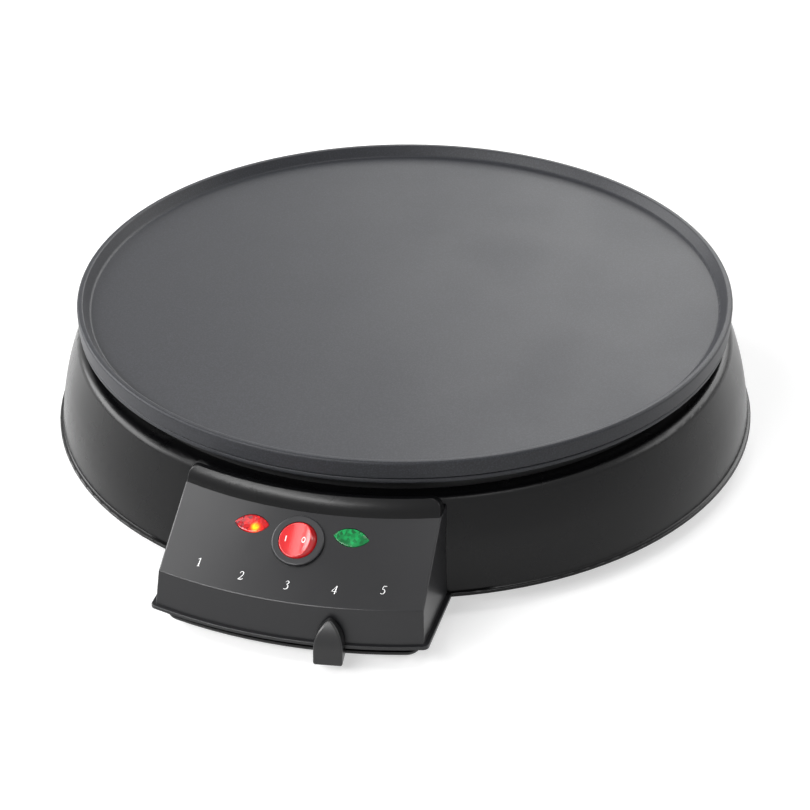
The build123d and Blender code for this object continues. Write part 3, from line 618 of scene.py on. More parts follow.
@dataclass(frozen=True)
class SpeckledMatter(Finish):
    """A matt non-metal with two close tones: paint, ceramic, rubber or nylon.

    Attributes:
        colour: Hex code of the main tone.
        speck_colour: Hex code of the second tone.
        roughness: Its roughness.
        speck: Width of the specks, in mm.
        depth: Height of its grain, in mm.
        ior: Index of refraction.
    """

    colour: str = "#1c1c1d"
    speck_colour: str = "#232324"
    roughness: float = 0.6
    speck: float = 0.6
    depth: float = 0.01
    ior: float = 1.5

    def surface(self, tree: Tree) -> Socket:
        """Builds the matter's shader.

        Args:
            tree: The node tree.

        Returns:
            The shader socket.
        """
        grain = self.spots(tree, self.speck)
        shader = add_node(
            tree,
            "ShaderNodeBsdfPrincipled",
            {
                "Base Color": self.tint(
                    tree, self.spread(tree, grain, 0.0, 1.0), self.colour, self.speck_colour
                ),
                "Roughness": self.roughness,
                "IOR": self.ior,
                "Normal": self.relief(tree, grain, self.depth),
            },
        )
        return shader.outputs["BSDF"]


@dataclass(frozen=True)
class TintedPlastic(Finish):
    """Clear polycarbonate or ABS dyed right through, glossy, with light moving inside it.

    Attributes:
        colour: Hex code of the body.
        deep_colour: Hex code where it looks darker.
        cloud: Width of the darker clouds, in mm.
        scatter: How much of the light travels under the surface, from 0 to 1.
        scatter_depth: How far it travels there, in mm.
        scatter_shares: How much of that way red, green and blue light go.
        glow: Strength of the painted glow that it gives off itself, as if light came through it.
        roughness: Its roughness.
        ior: Index of refraction.
    """

    colour: str = "#d8161c"
    deep_colour: str = "#c01018"
    cloud: float = 9.0
    scatter: float = 0.2
    scatter_depth: float = 1.5
    scatter_shares: tuple[float, float, float] = (1.0, 0.2, 0.1)
    glow: float = 0.1
    roughness: float = 0.19
    ior: float = 1.57

    def surface(self, tree: Tree) -> Socket:
        """Builds the plastic's shader.

        Args:
            tree: The node tree.

        Returns:
            The shader socket.
        """
        clouds = self.spread(tree, self.spots(tree, self.cloud, 1.0), 0.0, 1.0)
        body = self.tint(tree, clouds, self.colour, self.deep_colour)
        shader = add_node(
            tree,
            "ShaderNodeBsdfPrincipled",
            {
                "Base Color": body,
                "Roughness": self.roughness,
                "IOR": self.ior,
                "Subsurface Weight": self.scatter,
                "Subsurface Radius": self.scatter_shares,
                "Subsurface Scale": self.scatter_depth * MM,
                # Painted glow: the plastic gives off light in its own colour.
                "Emission Color": body,
                "Emission Strength": self.glow,
            },
        )
        return shader.outputs["BSDF"]


@dataclass(frozen=True)
class PrismLens(Finish):
    """Dyed polycarbonate lens whose back is moulded in small prisms.

    Each prism sends the eye somewhere else, so the lens looks like a patchwork of light and
    dark; here that patchwork is painted light, light and dark patches painted into its colour.
    Round the place of a lamp behind it, the lens itself gives off a painted glow.

    Attributes:
        bright: Hex code of the painted light patches.
        dark: Hex code of the painted dark patches.
        lamp: The middle of the painted glow, in the row's frame, in mm.
        painted_lamp_glow: Strength of the painted glow there.
        hot: Hex code of the painted glow at its middle.
        warm: Hex code of the painted glow round it.
        spot: Radius of its middle, in mm.
        halo: Radius of the painted glow, in mm.
        prism: Width of a prism, in mm.
        disorder: How unevenly the prisms lie, from 0 to 1.
        prism_depth: Height of their relief, in mm.
        dim: Share of the painted glow that the dullest prism shows.
        roughness: Its roughness.
        specular: Specular level.
        ior: Index of refraction.
    """

    bright: str = "#d0141c"
    dark: str = "#640618"
    lamp: tuple[float, float, float] = (0.0, 0.0, 0.0)
    painted_lamp_glow: float = 0.0
    hot: str = "#ffd800"
    warm: str = "#f02a08"
    spot: float = 3.2
    halo: float = 7.0
    prism: float = 1.5
    disorder: float = 0.8
    prism_depth: float = 0.08
    dim: float = 0.5
    roughness: float = 0.15
    specular: float = 0.25
    ior: float = 1.58

    def surface(self, tree: Tree) -> Socket:
        """Builds the lens's shader.

        Args:
            tree: The node tree.

        Returns:
            The shader socket.
        """
        place = add_node(tree, "ShaderNodeTexCoord").outputs["Object"]
        prisms = add_node(
            tree,
            "ShaderNodeTexVoronoi",
            {"Vector": place, "Scale": 1 / (self.prism * MM), "Randomness": self.disorder},
        )
        patch = add_node(tree, "ShaderNodeSeparateColor", {"Color": prisms.outputs["Color"]})
        # Painted light: each prism's patch is painted lighter or darker.
        body = self.tint(tree, patch.outputs["Red"], self.dark, self.bright)
        away = add_node(
            tree,
            "ShaderNodeVectorMath",
            {0: place, 1: tuple(v * MM for v in self.lamp)},
            operation="DISTANCE",
        )
        # Painted glow round the lamp's place, which the lens gives off itself.
        middle, around = (
            add_node(
                tree,
                "ShaderNodeMapRange",
                {
                    "Value": away.outputs["Value"],
                    "From Min": 0.0,
                    "From Max": reach * MM,
                    "To Min": 1.0,
                    "To Max": 0.0,
                },
                interpolation_type="SMOOTHERSTEP",
            ).outputs["Result"]
            for reach in (self.spot, self.halo)
        )
        glow = add_node(tree, "ShaderNodeMath", {0: middle, 1: around}, operation="ADD")
        facets = self.spread(tree, patch.outputs["Green"], self.dim, 1.0)
        lit = add_node(
            tree, "ShaderNodeMath", {0: glow.outputs[0], 1: facets}, operation="MULTIPLY"
        )
        strength = add_node(
            tree, "ShaderNodeMath", {0: lit.outputs[0], 1: self.painted_lamp_glow}, operation="MULTIPLY"
        )
        shader = add_node(
            tree,
            "ShaderNodeBsdfPrincipled",
            {
                "Base Color": body,
                "Roughness": self.roughness,
                "IOR": self.ior,
                "Specular IOR Level": self.specular,
                "Emission Color": self.tint(tree, middle, self.warm, self.hot),
                "Emission Strength": strength.outputs[0],
                "Normal": self.relief(tree, prisms.outputs["Distance"], self.prism_depth),
            },
        )
        return shader.outputs["BSDF"]


@dataclass(frozen=True)
class LampGlass(Finish):
    """Thin clear glass of a small glow lamp, with a warm electrode glow when it is on.

    Attributes:
        glow: Strength of the electrodes' light.
        glow_colour: Hex code of that light.
        colour: Hex code of the glass.
        streak_colour: Hex code of its streaks.
        streak: Width of a streak, in mm.
        roughness: Its roughness.
        clearness: How much light it lets through, from 0 to 1.
        ior: Index of refraction.
    """

    glow: float = 0.0
    glow_colour: str = "#ff8a2b"
    colour: str = "#f3efe6"
    streak_colour: str = "#e0d7c6"
    streak: float = 2.0
    roughness: float = 0.05
    clearness: float = 0.7
    ior: float = 1.5

    def surface(self, tree: Tree) -> Socket:
        """Builds the glass's shader.

        Args:
            tree: The node tree.

        Returns:
            The shader socket.
        """
        streaks = self.spread(tree, self.spots(tree, self.streak), 0.0, 1.0)
        shader = add_node(
            tree,
            "ShaderNodeBsdfPrincipled",
            {
                "Base Color": self.tint(tree, streaks, self.colour, self.streak_colour),
                "Roughness": self.roughness,
                "IOR": self.ior,
                "Transmission Weight": self.clearness,
                "Emission Color": linear(self.glow_colour),
                "Emission Strength": self.glow,
            },
        )
        return shader.outputs["BSDF"]


# Black ABS: near black with soft clear reflections on the shell; satin on the box, whose
# greyer colour is partly its own tone and partly painted sheen.
SHELL_BLACK = HousingPlastic("housing_abs", colour="#050506", roughness=0.28, specular=0.22)
# Black polypropylene from a matt mould: dull, with no clear reflections.
COVER_BLACK = MouldedPlastic("cover_polypropylene", colour="#0f0f10", roughness=0.5, specular=0.3)
# Black ABS with a satin skin: broad soft highlights along the knob's edges.
LEVER_BLACK = MouldedPlastic("lever_abs", colour="#1a1a1b", roughness=0.27)
# Black nylon: a shade greyer than the box, so that the bezel stands out from it.
SWITCH_BLACK = MouldedPlastic("switch_nylon", colour="#262628", roughness=0.33)
# PTFE sprayed on cast aluminium: dark grey satin with broad blurred reflections.
NON_STICK = NonStickCoating("ptfe_on_cast_aluminium")
# Paint, rubber, steatite, nylon and ink: matt, in two close tones, with no clear reflections.
SHIELD_BLACK = SpeckledMatter("heatproof_paint_on_steel", roughness=0.65)
RUBBER = SpeckledMatter("foot_rubber", "#161617", "#1d1d1e", 0.75, 0.8, 0.02)
STEATITE = SpeckledMatter("steatite", "#e6e0d2", "#d8d0be", 0.55, 0.5, 0.008)
NYLON = SpeckledMatter("white_nylon", "#e8e6de", "#e0ded5", 0.42, 1.2, 0.004, 1.53)
INK = SpeckledMatter("white_pad_print_ink", "#fbfbfb", "#f0f0f0", 0.5, 0.4, 0.002)
# Zinc plate is bright with duller clouds, brass warm and tarnished, and heated steel brown.
ZINC = Metal("zinc_plated_steel")
BRASS = Metal("brass", "#d9b25c", "#b58a3e", 0.28, 0.42, 4.0)
HEATED_STEEL = Metal("heated_steel", "#6f665c", "#4f4c4e", 0.42, 0.6, 12.0, 0.4, 0.006)
# Red polycarbonate: glossy, with a soft even painted glow, as if lit from behind.
ROCKER_RED = TintedPlastic("rocker_polycarbonate")


# Joints and seats --------------------------------------------------------------------------


class Motion(Enum):
    """The two joints that a hand moves."""

    TEMPERATURE = "temperature_turn"
    ROCKER = "power_rock"

    def joint(self) -> dict:
        """Gives the joint's entry in the record."""
        return next(j for j in frame["joints"] if j["name"] == self.value)


@dataclass(frozen=True)
class ControlPanel:
    """The sloping panel, a cone round the upright axis.

    Attributes:
        slope: Its fall towards the front, in degrees.
        crease_radius: Radius of its upper edge, in mm.
        crease_height: Height of its upper edge, in mm.
    """

    slope: float = 34.4
    crease_radius: float = 166.2
    crease_height: float = 50.4

    def seat(self, x: float, y: float, lift: float = 0.0) -> Matrix:
        """A seat on the panel: X runs across, Y up the slope and Z out of it.

        Args:
            x: Across, in mm.
            y: Along, in mm; the front is negative.
            lift: Height over the panel, in mm.

        Returns:
            The seat's matrix, in metres.
        """
        reach = sqrt(x * x + y * y)
        fall = radians(self.slope)
        out = Vector((x / reach * sin(fall), y / reach * sin(fall), cos(fall)))
        height = self.crease_height - (reach - self.crease_radius) * tan(fall)
        point = (Vector((x, y, height)) + out * lift) * MM
        return seat_matrix(point, out)


def seat_matrix(point: Vector, out: Vector) -> Matrix:
    """A seat whose X runs across the appliance as far as its surface allows.

    Args:
        point: The seat's middle, in metres.
        out: The surface's outward direction.

    Returns:
        The seat's matrix.
    """
    across = (Vector((1, 0, 0)) - out * out.x).normalized()
    up = out.cross(across)
    matrix = Matrix((across, up, out)).transposed().to_4x4()
    matrix.translation = point
    return matrix


PANEL = ControlPanel()


# Sub-assemblies ----------------------------------------------------------------------------


@dataclass
class Assembly:
    """A group of pieces that is built and dressed together.

    Attributes:
        body: The CAD body that its new pieces ride on.
        pieces: The new pieces, in the order of their making.
    """

    body: str = "base"
    pieces: list[Piece] = field(default_factory=list)

    def nodes(self, *names: str) -> list[Piece]:
        """Finds CAD nodes by their names or by the start of them.

        Args:
            *names: Node names, or starts that end in an underscore.

        Returns:
            The CAD objects.
        """
        return [
            node
            for name, node in frame["nodes"].items()
            if name in names or any(n.endswith("_") and name.startswith(n) for n in names)
        ]

    def add(self, piece: Piece, finish: Finish, slot: str, *replaced: str) -> Piece:
        """Dresses a finished piece, seats it on the body and notes it.

        Args:
            piece: The piece, in place.
            finish: Its finish.
            slot: The record's material slot; not used.
            *replaced: CAD nodes that it stands for.

        Returns:
            The piece.
        """
        finish.dress([piece])
        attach(piece, self.body)
        if replaced:
            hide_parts(*replaced)
        self.pieces.append(piece)
        return piece

    def build(self) -> None:
        """Makes and dresses the pieces. Each assembly has its own."""
        raise NotImplementedError

    def report(self) -> None:
        """Notes each new piece in the log."""
        for piece in self.pieces:
            LOG.info("%s rides on %s, %d faces", piece.name, self.body, len(piece.data.polygons))


@dataclass
class Casing(Assembly):
    """The housing, its bottom cover with screws and feet, and the cord gland.

    Attributes:
        weld: Distance under which the housing's points are one, in mm.
        smooth_under: Angle between faces, in degrees, under which they are shaded as one.
        box_reach: Half width of the stretch round the control box that isn't joined, in mm.
        box_back: Where that stretch ends at the back, in mm.
    """

    weld: float = 0.002
    smooth_under: float = 32.0
    box_reach: float = 76.0
    box_back: float = -100.0

    def make_moulding(self) -> Piece:
        """Joins a copy of the round shell's loose triangles, so that its curves shade smoothly.

        The control box keeps its crisp facets round the windows.

        Returns:
            The joined housing, in the CAD node's place.
        """
        node = self.nodes("housing")[0]
        select_only(node)
        bpy.ops.object.duplicate()
        moulding = new_piece("moulded_housing")
        bpy.ops.object.transform_apply(location=True, rotation=True, scale=True)
        bpy.ops.object.mode_set(mode="EDIT")
        bpy.ops.mesh.select_mode(type="VERT")
        bpy.ops.mesh.select_all(action="DESELECT")
        bpy.ops.object.mode_set(mode="OBJECT")
        for point in moulding.data.vertices:
            x, y, _ = point.co / MM
            point.select = abs(x) > self.box_reach or y > self.box_back
        bpy.ops.object.mode_set(mode="EDIT")
        bpy.ops.mesh.remove_doubles(threshold=self.weld * MM)
        bpy.ops.object.mode_set(mode="OBJECT")
        bpy.ops.object.shade_smooth_by_angle(angle=radians(self.smooth_under))
        apply_modifier(moulding, "WEIGHTED_NORMAL", mode="FACE_AREA_WITH_ANGLE", keep_sharp=True)
        return moulding

    def build(self) -> None:
        """Makes the housing and dresses the casing's CAD nodes."""
        self.add(self.make_moulding(), SHELL_BLACK, "black_gloss_plastic", "housing")
        COVER_BLACK.dress(self.nodes("bottom_cover", "cord_gland"))
        ZINC.dress(self.nodes("cover_screw_"))
        RUBBER.dress(self.nodes("foot_"))


@dataclass
class CookingPlate(Assembly):
    """The coated hotplate with its element, heat shield and fasteners."""

    def build(self) -> None:
        """Dresses the plate's CAD nodes."""
        NON_STICK.dress(self.nodes("hotplate"))
        SHIELD_BLACK.dress(self.nodes("heat_shield"))
        HEATED_STEEL.dress(self.nodes("heating_element"))
        ZINC.dress(self.nodes("plate_screw_", "shield_screw_"))


@dataclass
class InnerParts(Assembly):
    """The thermostat, its shaft, the fuse, the terminals and the lamps' holders."""

    def build(self) -> None:
        """Dresses the inner CAD nodes."""
        STEATITE.dress(self.nodes("thermostat", "thermal_fuse"))
        ZINC.dress(self.nodes("thermostat_bracket", "bracket_screw_", "fuse_clip"))
        ZINC.dress(self.nodes("lever_set_screw"))
        BRASS.dress(self.nodes("thermostat_shaft", "switch_terminals", "earth_tab"))
        NYLON.dress(self.nodes("terminal_block", "power_lamp_holder", "ready_lamp_holder"))
        LampGlass("lit_lamp_glass", glow=3.0).dress(self.nodes("power_lamp"))
        LampGlass("dark_lamp_glass").dress(self.nodes("ready_lamp"))


@dataclass
class TemperatureControl(Assembly):
    """The lever under the front of the control box."""

    body: str = "lever"

    def build(self) -> None:
        """Dresses the lever."""
        LEVER_BLACK.dress(self.nodes("temperature_lever"))


@dataclass
class PowerSwitch(Assembly):
    """The round rocker switch: a ball with a dished top, marked I and O.

    Attributes:
        ball_radius: Radius of the rocker's ball, in mm.
        dish_radius: Radius of the dish across its top, in mm.
        dish_height: Height of the dish's middle over the pivot, in mm.
        tilt: How far its right end is raised at rest, in degrees.
        skirt: How far the ball reaches under its middle, in shares of its radius.
        voxel: Width of the mesh's cells, in mm.
        mark_height: Height of the I and the O, in mm.
        bar_width: Width of the I, in mm.
        bar_depth: Its thickness, in mm; half of it stands over the dish.
        bar_bevel: Rounding of its edges, in mm.
        ring_radius: Radius of the O, in shares of the marks' height.
        ring_line: Half the thickness of its line, in mm.
        ring_shape: How it is stretched across, along and outwards.
        on_place: Where the I stands from the middle, in mm; left is negative.
        off_place: Where the O stands.
    """

    body: str = "rocker"
    ball_radius: float = 9.0
    dish_radius: float = 21.0
    dish_height: float = 4.0
    tilt: float = 10.0
    skirt: float = 0.5
    voxel: float = 0.22
    mark_height: float = 2.6
    bar_width: float = 0.5
    bar_depth: float = 0.06
    bar_bevel: float = 0.02
    ring_radius: float = 0.4
    ring_line: float = 0.22
    ring_shape: tuple[float, float, float] = (0.8, 1.1, 0.15)
    on_place: float = -4.6
    off_place: float = 3.8

    def pivot_seat(self) -> Matrix:
        """Gives the rocker's own frame at rest: Y along its pivot, Z out of the dish.

        Returns:
            The frame's matrix.
        """
        joint = Motion.ROCKER.joint()
        along = Vector(joint["axis"]).normalized()
        across = Vector((1, 0, 0))
        matrix = Matrix((across, along, across.cross(along))).transposed().to_4x4()
        matrix.translation = Vector(joint["pos_m"])
        return matrix @ Matrix.Rotation(radians(-self.tilt), 4, "Y")

    def make_rocker(self) -> Piece:
        """Models the rocker: a ball, dished by a roller and rounded along the dish's rim.

        Returns:
            The rocker.
        """
        bpy.ops.object.select_all(action="DESELECT")
        bpy.ops.mesh.primitive_cylinder_add(
            vertices=256,
            radius=self.dish_radius * MM,
            depth=4 * self.ball_radius * MM,
            rotation=(radians(90), 0, 0),
            location=(0, 0, (self.dish_height + self.dish_radius) * MM),
        )
        roller = new_piece("dish_roller")
        bpy.ops.mesh.primitive_uv_sphere_add(
            segments=96, ring_count=48, radius=self.ball_radius * MM
        )
        rocker = new_piece("rocker")
        apply_modifier(rocker, "BOOLEAN", object=roller, operation="DIFFERENCE", solver="EXACT")
        bpy.data.objects.remove(roller)
        select_only(rocker)
        bpy.ops.object.mode_set(mode="EDIT")
        bpy.ops.mesh.select_all(action="SELECT")
        bpy.ops.mesh.bisect(
            plane_co=(0, 0, -self.skirt * self.ball_radius * MM),
            plane_no=(0, 0, 1),
            use_fill=True,
            clear_inner=True,
        )
        bpy.ops.object.mode_set(mode="OBJECT")
        apply_modifier(rocker, "REMESH", mode="VOXEL", voxel_size=self.voxel * MM)
        apply_modifier(rocker, "SMOOTH", factor=0.5, iterations=6)
        outward(rocker)
        bpy.ops.object.shade_smooth()
        place_on(rocker, self.pivot_seat())
        return rocker

    def mark_seat(self, across: float) -> Matrix:
        """A seat on the dish.

        Args:
            across: Place across the dish, in mm; left is negative.

        Returns:
            The seat's matrix.
        """
        turn = across / self.dish_radius
        centre = self.dish_height + self.dish_radius
        point = Vector((sin(turn), 0, -cos(turn))) * self.dish_radius * MM
        point.z += centre * MM
        return self.pivot_seat() @ Matrix.Translation(point) @ Matrix.Rotation(-turn, 4, "Y")

    def make_bar(self) -> Piece:
        """Models the I mark: a flat bar with rounded edges.

        Returns:
            The mark.
        """
        bpy.ops.object.select_all(action="DESELECT")
        bpy.ops.mesh.primitive_cube_add(size=MM)
        bar = new_piece("mark_on")
        bar.scale = (self.bar_width, self.mark_height, self.bar_depth)
        bpy.ops.object.transform_apply(scale=True)
        apply_modifier(bar, "BEVEL", width=self.bar_bevel * MM, segments=2)
        place_on(bar, self.mark_seat(self.on_place))
        return bar

    def make_ring(self) -> Piece:
        """Models the O mark: a flattened ring.

        Returns:
            The mark.
        """
        bpy.ops.object.select_all(action="DESELECT")
        bpy.ops.mesh.primitive_torus_add(
            major_segments=48,
            minor_segments=8,
            major_radius=self.ring_radius * self.mark_height * MM,
            minor_radius=self.ring_line * MM,
        )
        ring = new_piece("mark_off")
        ring.scale = self.ring_shape
        place_on(ring, self.mark_seat(self.off_place))
        bpy.ops.object.shade_smooth()
        return ring

    def build(self) -> None:
        """Makes the rocker and its marks, and dresses the switch's body."""
        SWITCH_BLACK.dress(self.nodes("switch_body"))
        self.add(self.make_rocker(), ROCKER_RED, "red_rocker_plastic", "power_rocker")
        self.add(self.make_bar(), INK, "white_plastic")
        self.add(self.make_ring(), INK, "white_plastic")


@dataclass
class PilotLight(Assembly):
    """An almond-shaped lens that fills its window in the panel.

    Attributes:
        name: The light's name, which its lens's node starts with.
        slot: The lens's material slot.
        finish: The lens's finish.
        reach: Distance of the light's middle from the upright axis, in mm.
        bearing: Its angle from straight ahead, in degrees; left is negative.
        half_length: Half the lens's length, in mm.
        half_width: Half its width, in mm.
        crown: Height of its crown, in mm.
        depth: How far it reaches into the panel, in mm.
        circle_points: Points on the whole circle that each of its edges is an arc of.
        weld: Distance under which its points are one, in mm.
        smooth_under: Angle between faces, in degrees, under which they are shaded as one.
    """

    name: str = "power"
    slot: str = "red_lens_plastic"
    finish: Finish = ROCKER_RED
    reach: float = 174.1
    bearing: float = 0.0
    half_length: float = 7.9
    half_width: float = 4.1
    crown: float = 0.5
    depth: float = 2.6
    circle_points: int = 256
    weld: float = 0.01
    smooth_under: float = 40.0

    def make_lens(self) -> Piece:
        """Models the lens: an arc spun about its long axis and flattened, with a skirt.

        Returns:
            The lens.
        """
        bend = (self.half_length**2 + self.half_width**2) / (2 * self.half_width)
        bpy.ops.object.select_all(action="DESELECT")
        bpy.ops.mesh.primitive_circle_add(
            vertices=self.circle_points,
            radius=bend * MM,
            location=(0, (self.half_width - bend) * MM, 0),
        )
        lens = new_piece(f"{self.name}_pilot_lens")
        bpy.ops.object.transform_apply(location=True)
        bpy.ops.object.mode_set(mode="EDIT")
        bpy.ops.mesh.select_all(action="SELECT")
        bpy.ops.mesh.bisect(plane_co=(0, 0, 0), plane_no=(0, 1, 0), clear_inner=True)
        bpy.ops.mesh.select_all(action="SELECT")
        bpy.ops.mesh.spin(steps=24, angle=-radians(180), center=(0, 0, 0), axis=(1, 0, 0))
        bpy.ops.mesh.select_all(action="SELECT")
        bpy.ops.mesh.remove_doubles(threshold=self.weld * MM)
        bpy.ops.transform.resize(
            value=(1, 1, self.crown / self.half_width), center_override=(0, 0, 0)
        )
        bpy.ops.mesh.select_all(action="DESELECT")
        bpy.ops.mesh.select_non_manifold()
        bpy.ops.mesh.extrude_region_move(
            TRANSFORM_OT_translate={"value": (0, 0, -self.depth * MM)}
        )
        bpy.ops.mesh.edge_face_add()
        bpy.ops.object.mode_set(mode="OBJECT")
        outward(lens)
        bpy.ops.object.shade_smooth_by_angle(angle=radians(self.smooth_under))
        turn = radians(self.bearing)
        place_on(lens, PANEL.seat(self.reach * sin(turn), -self.reach * cos(turn)))
        return lens

    def build(self) -> None:
        """Makes and dresses the lens."""
        self.add(self.make_lens(), self.finish, self.slot, f"{self.name}_lens")


@dataclass(frozen=True)
class Stroke:
    """A pen stroke of a printed figure, in shares of the figure's height.

    Attributes:
        path: The points that the pen follows, from the figure's lower left corner.
        widths: The stroke's half width at each point.
    """

    path: tuple[tuple[float, float], ...]
    widths: tuple[float, ...]


# In shares of a figure's height: half widths of its thin and thick lines, and its middle.
HAIR, STEM = 0.03, 0.064
MIDDLE_X, MIDDLE_Y = 0.32, 0.5
FIGURES: dict[str, tuple[Stroke, ...]] = {
    "1": (
        Stroke(((0.20, 0.84), (0.34, 0.90), (0.46, 1.0)), (HAIR, HAIR, HAIR)),
        Stroke(((0.45, 0.98), (0.40, 0.5), (0.35, 0.03)), (STEM, STEM, STEM)),
        Stroke(((0.18, 0.02), (0.50, 0.02)), (HAIR, HAIR)),
    ),
    "2": (
        Stroke(
            ((0.14, 0.76), (0.22, 0.97), (0.46, 1.04), (0.62, 0.80), (0.46, 0.46), (0.04, 0.05)),
            (HAIR, 0.035, 0.045, STEM, 0.05, HAIR),
        ),
        Stroke(((0.04, 0.05), (0.30, 0.06), (0.48, 0.02), (0.58, 0.20)), (HAIR, STEM, STEM, HAIR)),
    ),
    "3": (
        Stroke(
            ((0.16, 0.82), (0.26, 0.98), (0.50, 1.03), (0.58, 0.74), (0.28, 0.56)),
            (HAIR, 0.03, 0.045, STEM, HAIR),
        ),
        Stroke(
            ((0.28, 0.56), (0.52, 0.52), (0.54, 0.14), (0.26, -0.05), (0.02, 0.04)),
            (HAIR, 0.05, STEM, 0.035, HAIR),
        ),
    ),
    "4": (
        Stroke(((0.52, 0.99), (0.28, 0.64), (0.03, 0.30)), (HAIR, HAIR, HAIR)),
        Stroke(((0.03, 0.29), (0.62, 0.29)), (0.03, 0.03)),
        Stroke(((0.53, 0.98), (0.46, 0.5), (0.38, 0.0)), (STEM, STEM, STEM)),
    ),
    "5": (
        Stroke(((0.26, 0.96), (0.44, 0.95), (0.62, 1.0)), (0.045, STEM, HAIR)),
        Stroke(((0.26, 0.96), (0.15, 0.58)), (HAIR, HAIR)),
        Stroke(
            ((0.15, 0.58), (0.44, 0.62), (0.56, 0.30), (0.34, -0.05), (0.02, 0.03)),
            (HAIR, 0.05, STEM, 0.035, HAIR),
        ),
    ),
}


@dataclass
class TemperatureScale(Assembly):
    """The figures 1 to 5, pad-printed on the panel along the lever's arc.

    Attributes:
        figure_height: Height of a figure, in mm.
        arc_radius: Radius of the arc round the lever's pivot, in mm.
        step: Angle between figures, in degrees.
        middle: Bearing of the 3, in degrees.
        ink: How far the ink stands over the panel, in mm.
    """

    figure_height: float = 3.9
    arc_radius: float = 152.9
    step: float = 7.9
    middle: float = -0.15
    ink: float = 0.04

    def make_stroke(self, stroke: Stroke) -> Piece:
        """Models one stroke as a flattened pen line.

        Args:
            stroke: The stroke.

        Returns:
            The stroke as a mesh, in the figure's own frame.
        """
        bpy.ops.object.select_all(action="DESELECT")
        bpy.ops.curve.primitive_nurbs_path_add()
        piece = new_piece("stroke")
        curve = piece.data
        curve.splines.clear()
        spline = curve.splines.new("NURBS")
        spline.points.add(len(stroke.path) - 1)
        size = self.figure_height * MM
        for point, (x, y), width in zip(spline.points, stroke.path, stroke.widths):
            point.co = ((x - MIDDLE_X) * size, (y - MIDDLE_Y) * size, 0, 1)
            point.radius = width * size
        spline.order_u = min(4, len(stroke.path))
        spline.use_endpoint_u = True
        spline.resolution_u = 8
        curve.dimensions = "3D"
        curve.bevel_depth = 1.0
        curve.bevel_resolution = 2
        curve.use_fill_caps = True
        bpy.ops.object.convert(target="MESH")
        return bpy.context.object

    def make_figure(self, figure: str, bearing: float) -> Piece:
        """Models one figure and lays it on the panel.

        Args:
            figure: The figure.
            bearing: Its angle round the lever's pivot, in degrees.

        Returns:
            The figure.
        """
        strokes = [self.make_stroke(s) for s in FIGURES[figure]]
        select_only(strokes[0])
        for stroke in strokes[1:]:
            stroke.select_set(True)
        bpy.ops.object.join()
        piece = new_piece(f"figure_{figure}")
        bpy.ops.object.mode_set(mode="EDIT")
        bpy.ops.mesh.select_all(action="SELECT")
        flat = self.ink / (STEM * self.figure_height)
        bpy.ops.transform.resize(value=(1, 1, flat), center_override=(0, 0, 0))
        bpy.ops.object.mode_set(mode="OBJECT")
        outward(piece)
        pivot_y = Motion.TEMPERATURE.joint()["pos_m"][1] / MM
        x = self.arc_radius * sin(radians(bearing))
        y = pivot_y - self.arc_radius * cos(radians(bearing))
        place_on(piece, PANEL.seat(x, y))
        return piece

    def build(self) -> None:
        """Makes the five figures."""
        for count, figure in enumerate(FIGURES):
            bearing = self.middle + (count - len(FIGURES) // 2) * self.step
            piece = self.make_figure(figure, bearing)
            self.add(piece, INK, "white_plastic")


# Studio ------------------------------------------------------------------------------------


@dataclass(frozen=True)
class Softbox:
    """A soft area lamp.

    Attributes:
        name: The lamp's name.
        place: Where it stands, in metres.
        target: What it points at, in metres.
        width: Its width, in metres.
        height: Its height, in metres.
        brightness: Radiance of its face, where 1 is white.
    """

    name: str
    place: tuple[float, float, float]
    target: tuple[float, float, float]
    width: float
    height: float
    brightness: float

    def build(self) -> None:
        """Makes the lamp, which only its light and its reflections show."""
        light = bpy.data.lights.new(self.name, "AREA")
        light.shape = "RECTANGLE"
        light.size, light.size_y = self.width, self.height
        light.energy = self.brightness * pi * self.width * self.height
        lamp = bpy.data.objects.new(self.name, light)
        bpy.context.scene.collection.objects.link(lamp)
        lamp.location = self.place
        aim = Vector(self.target) - Vector(self.place)
        lamp.rotation_euler = aim.to_track_quat("-Z", "Y").to_euler()
        lamp.visible_camera = False


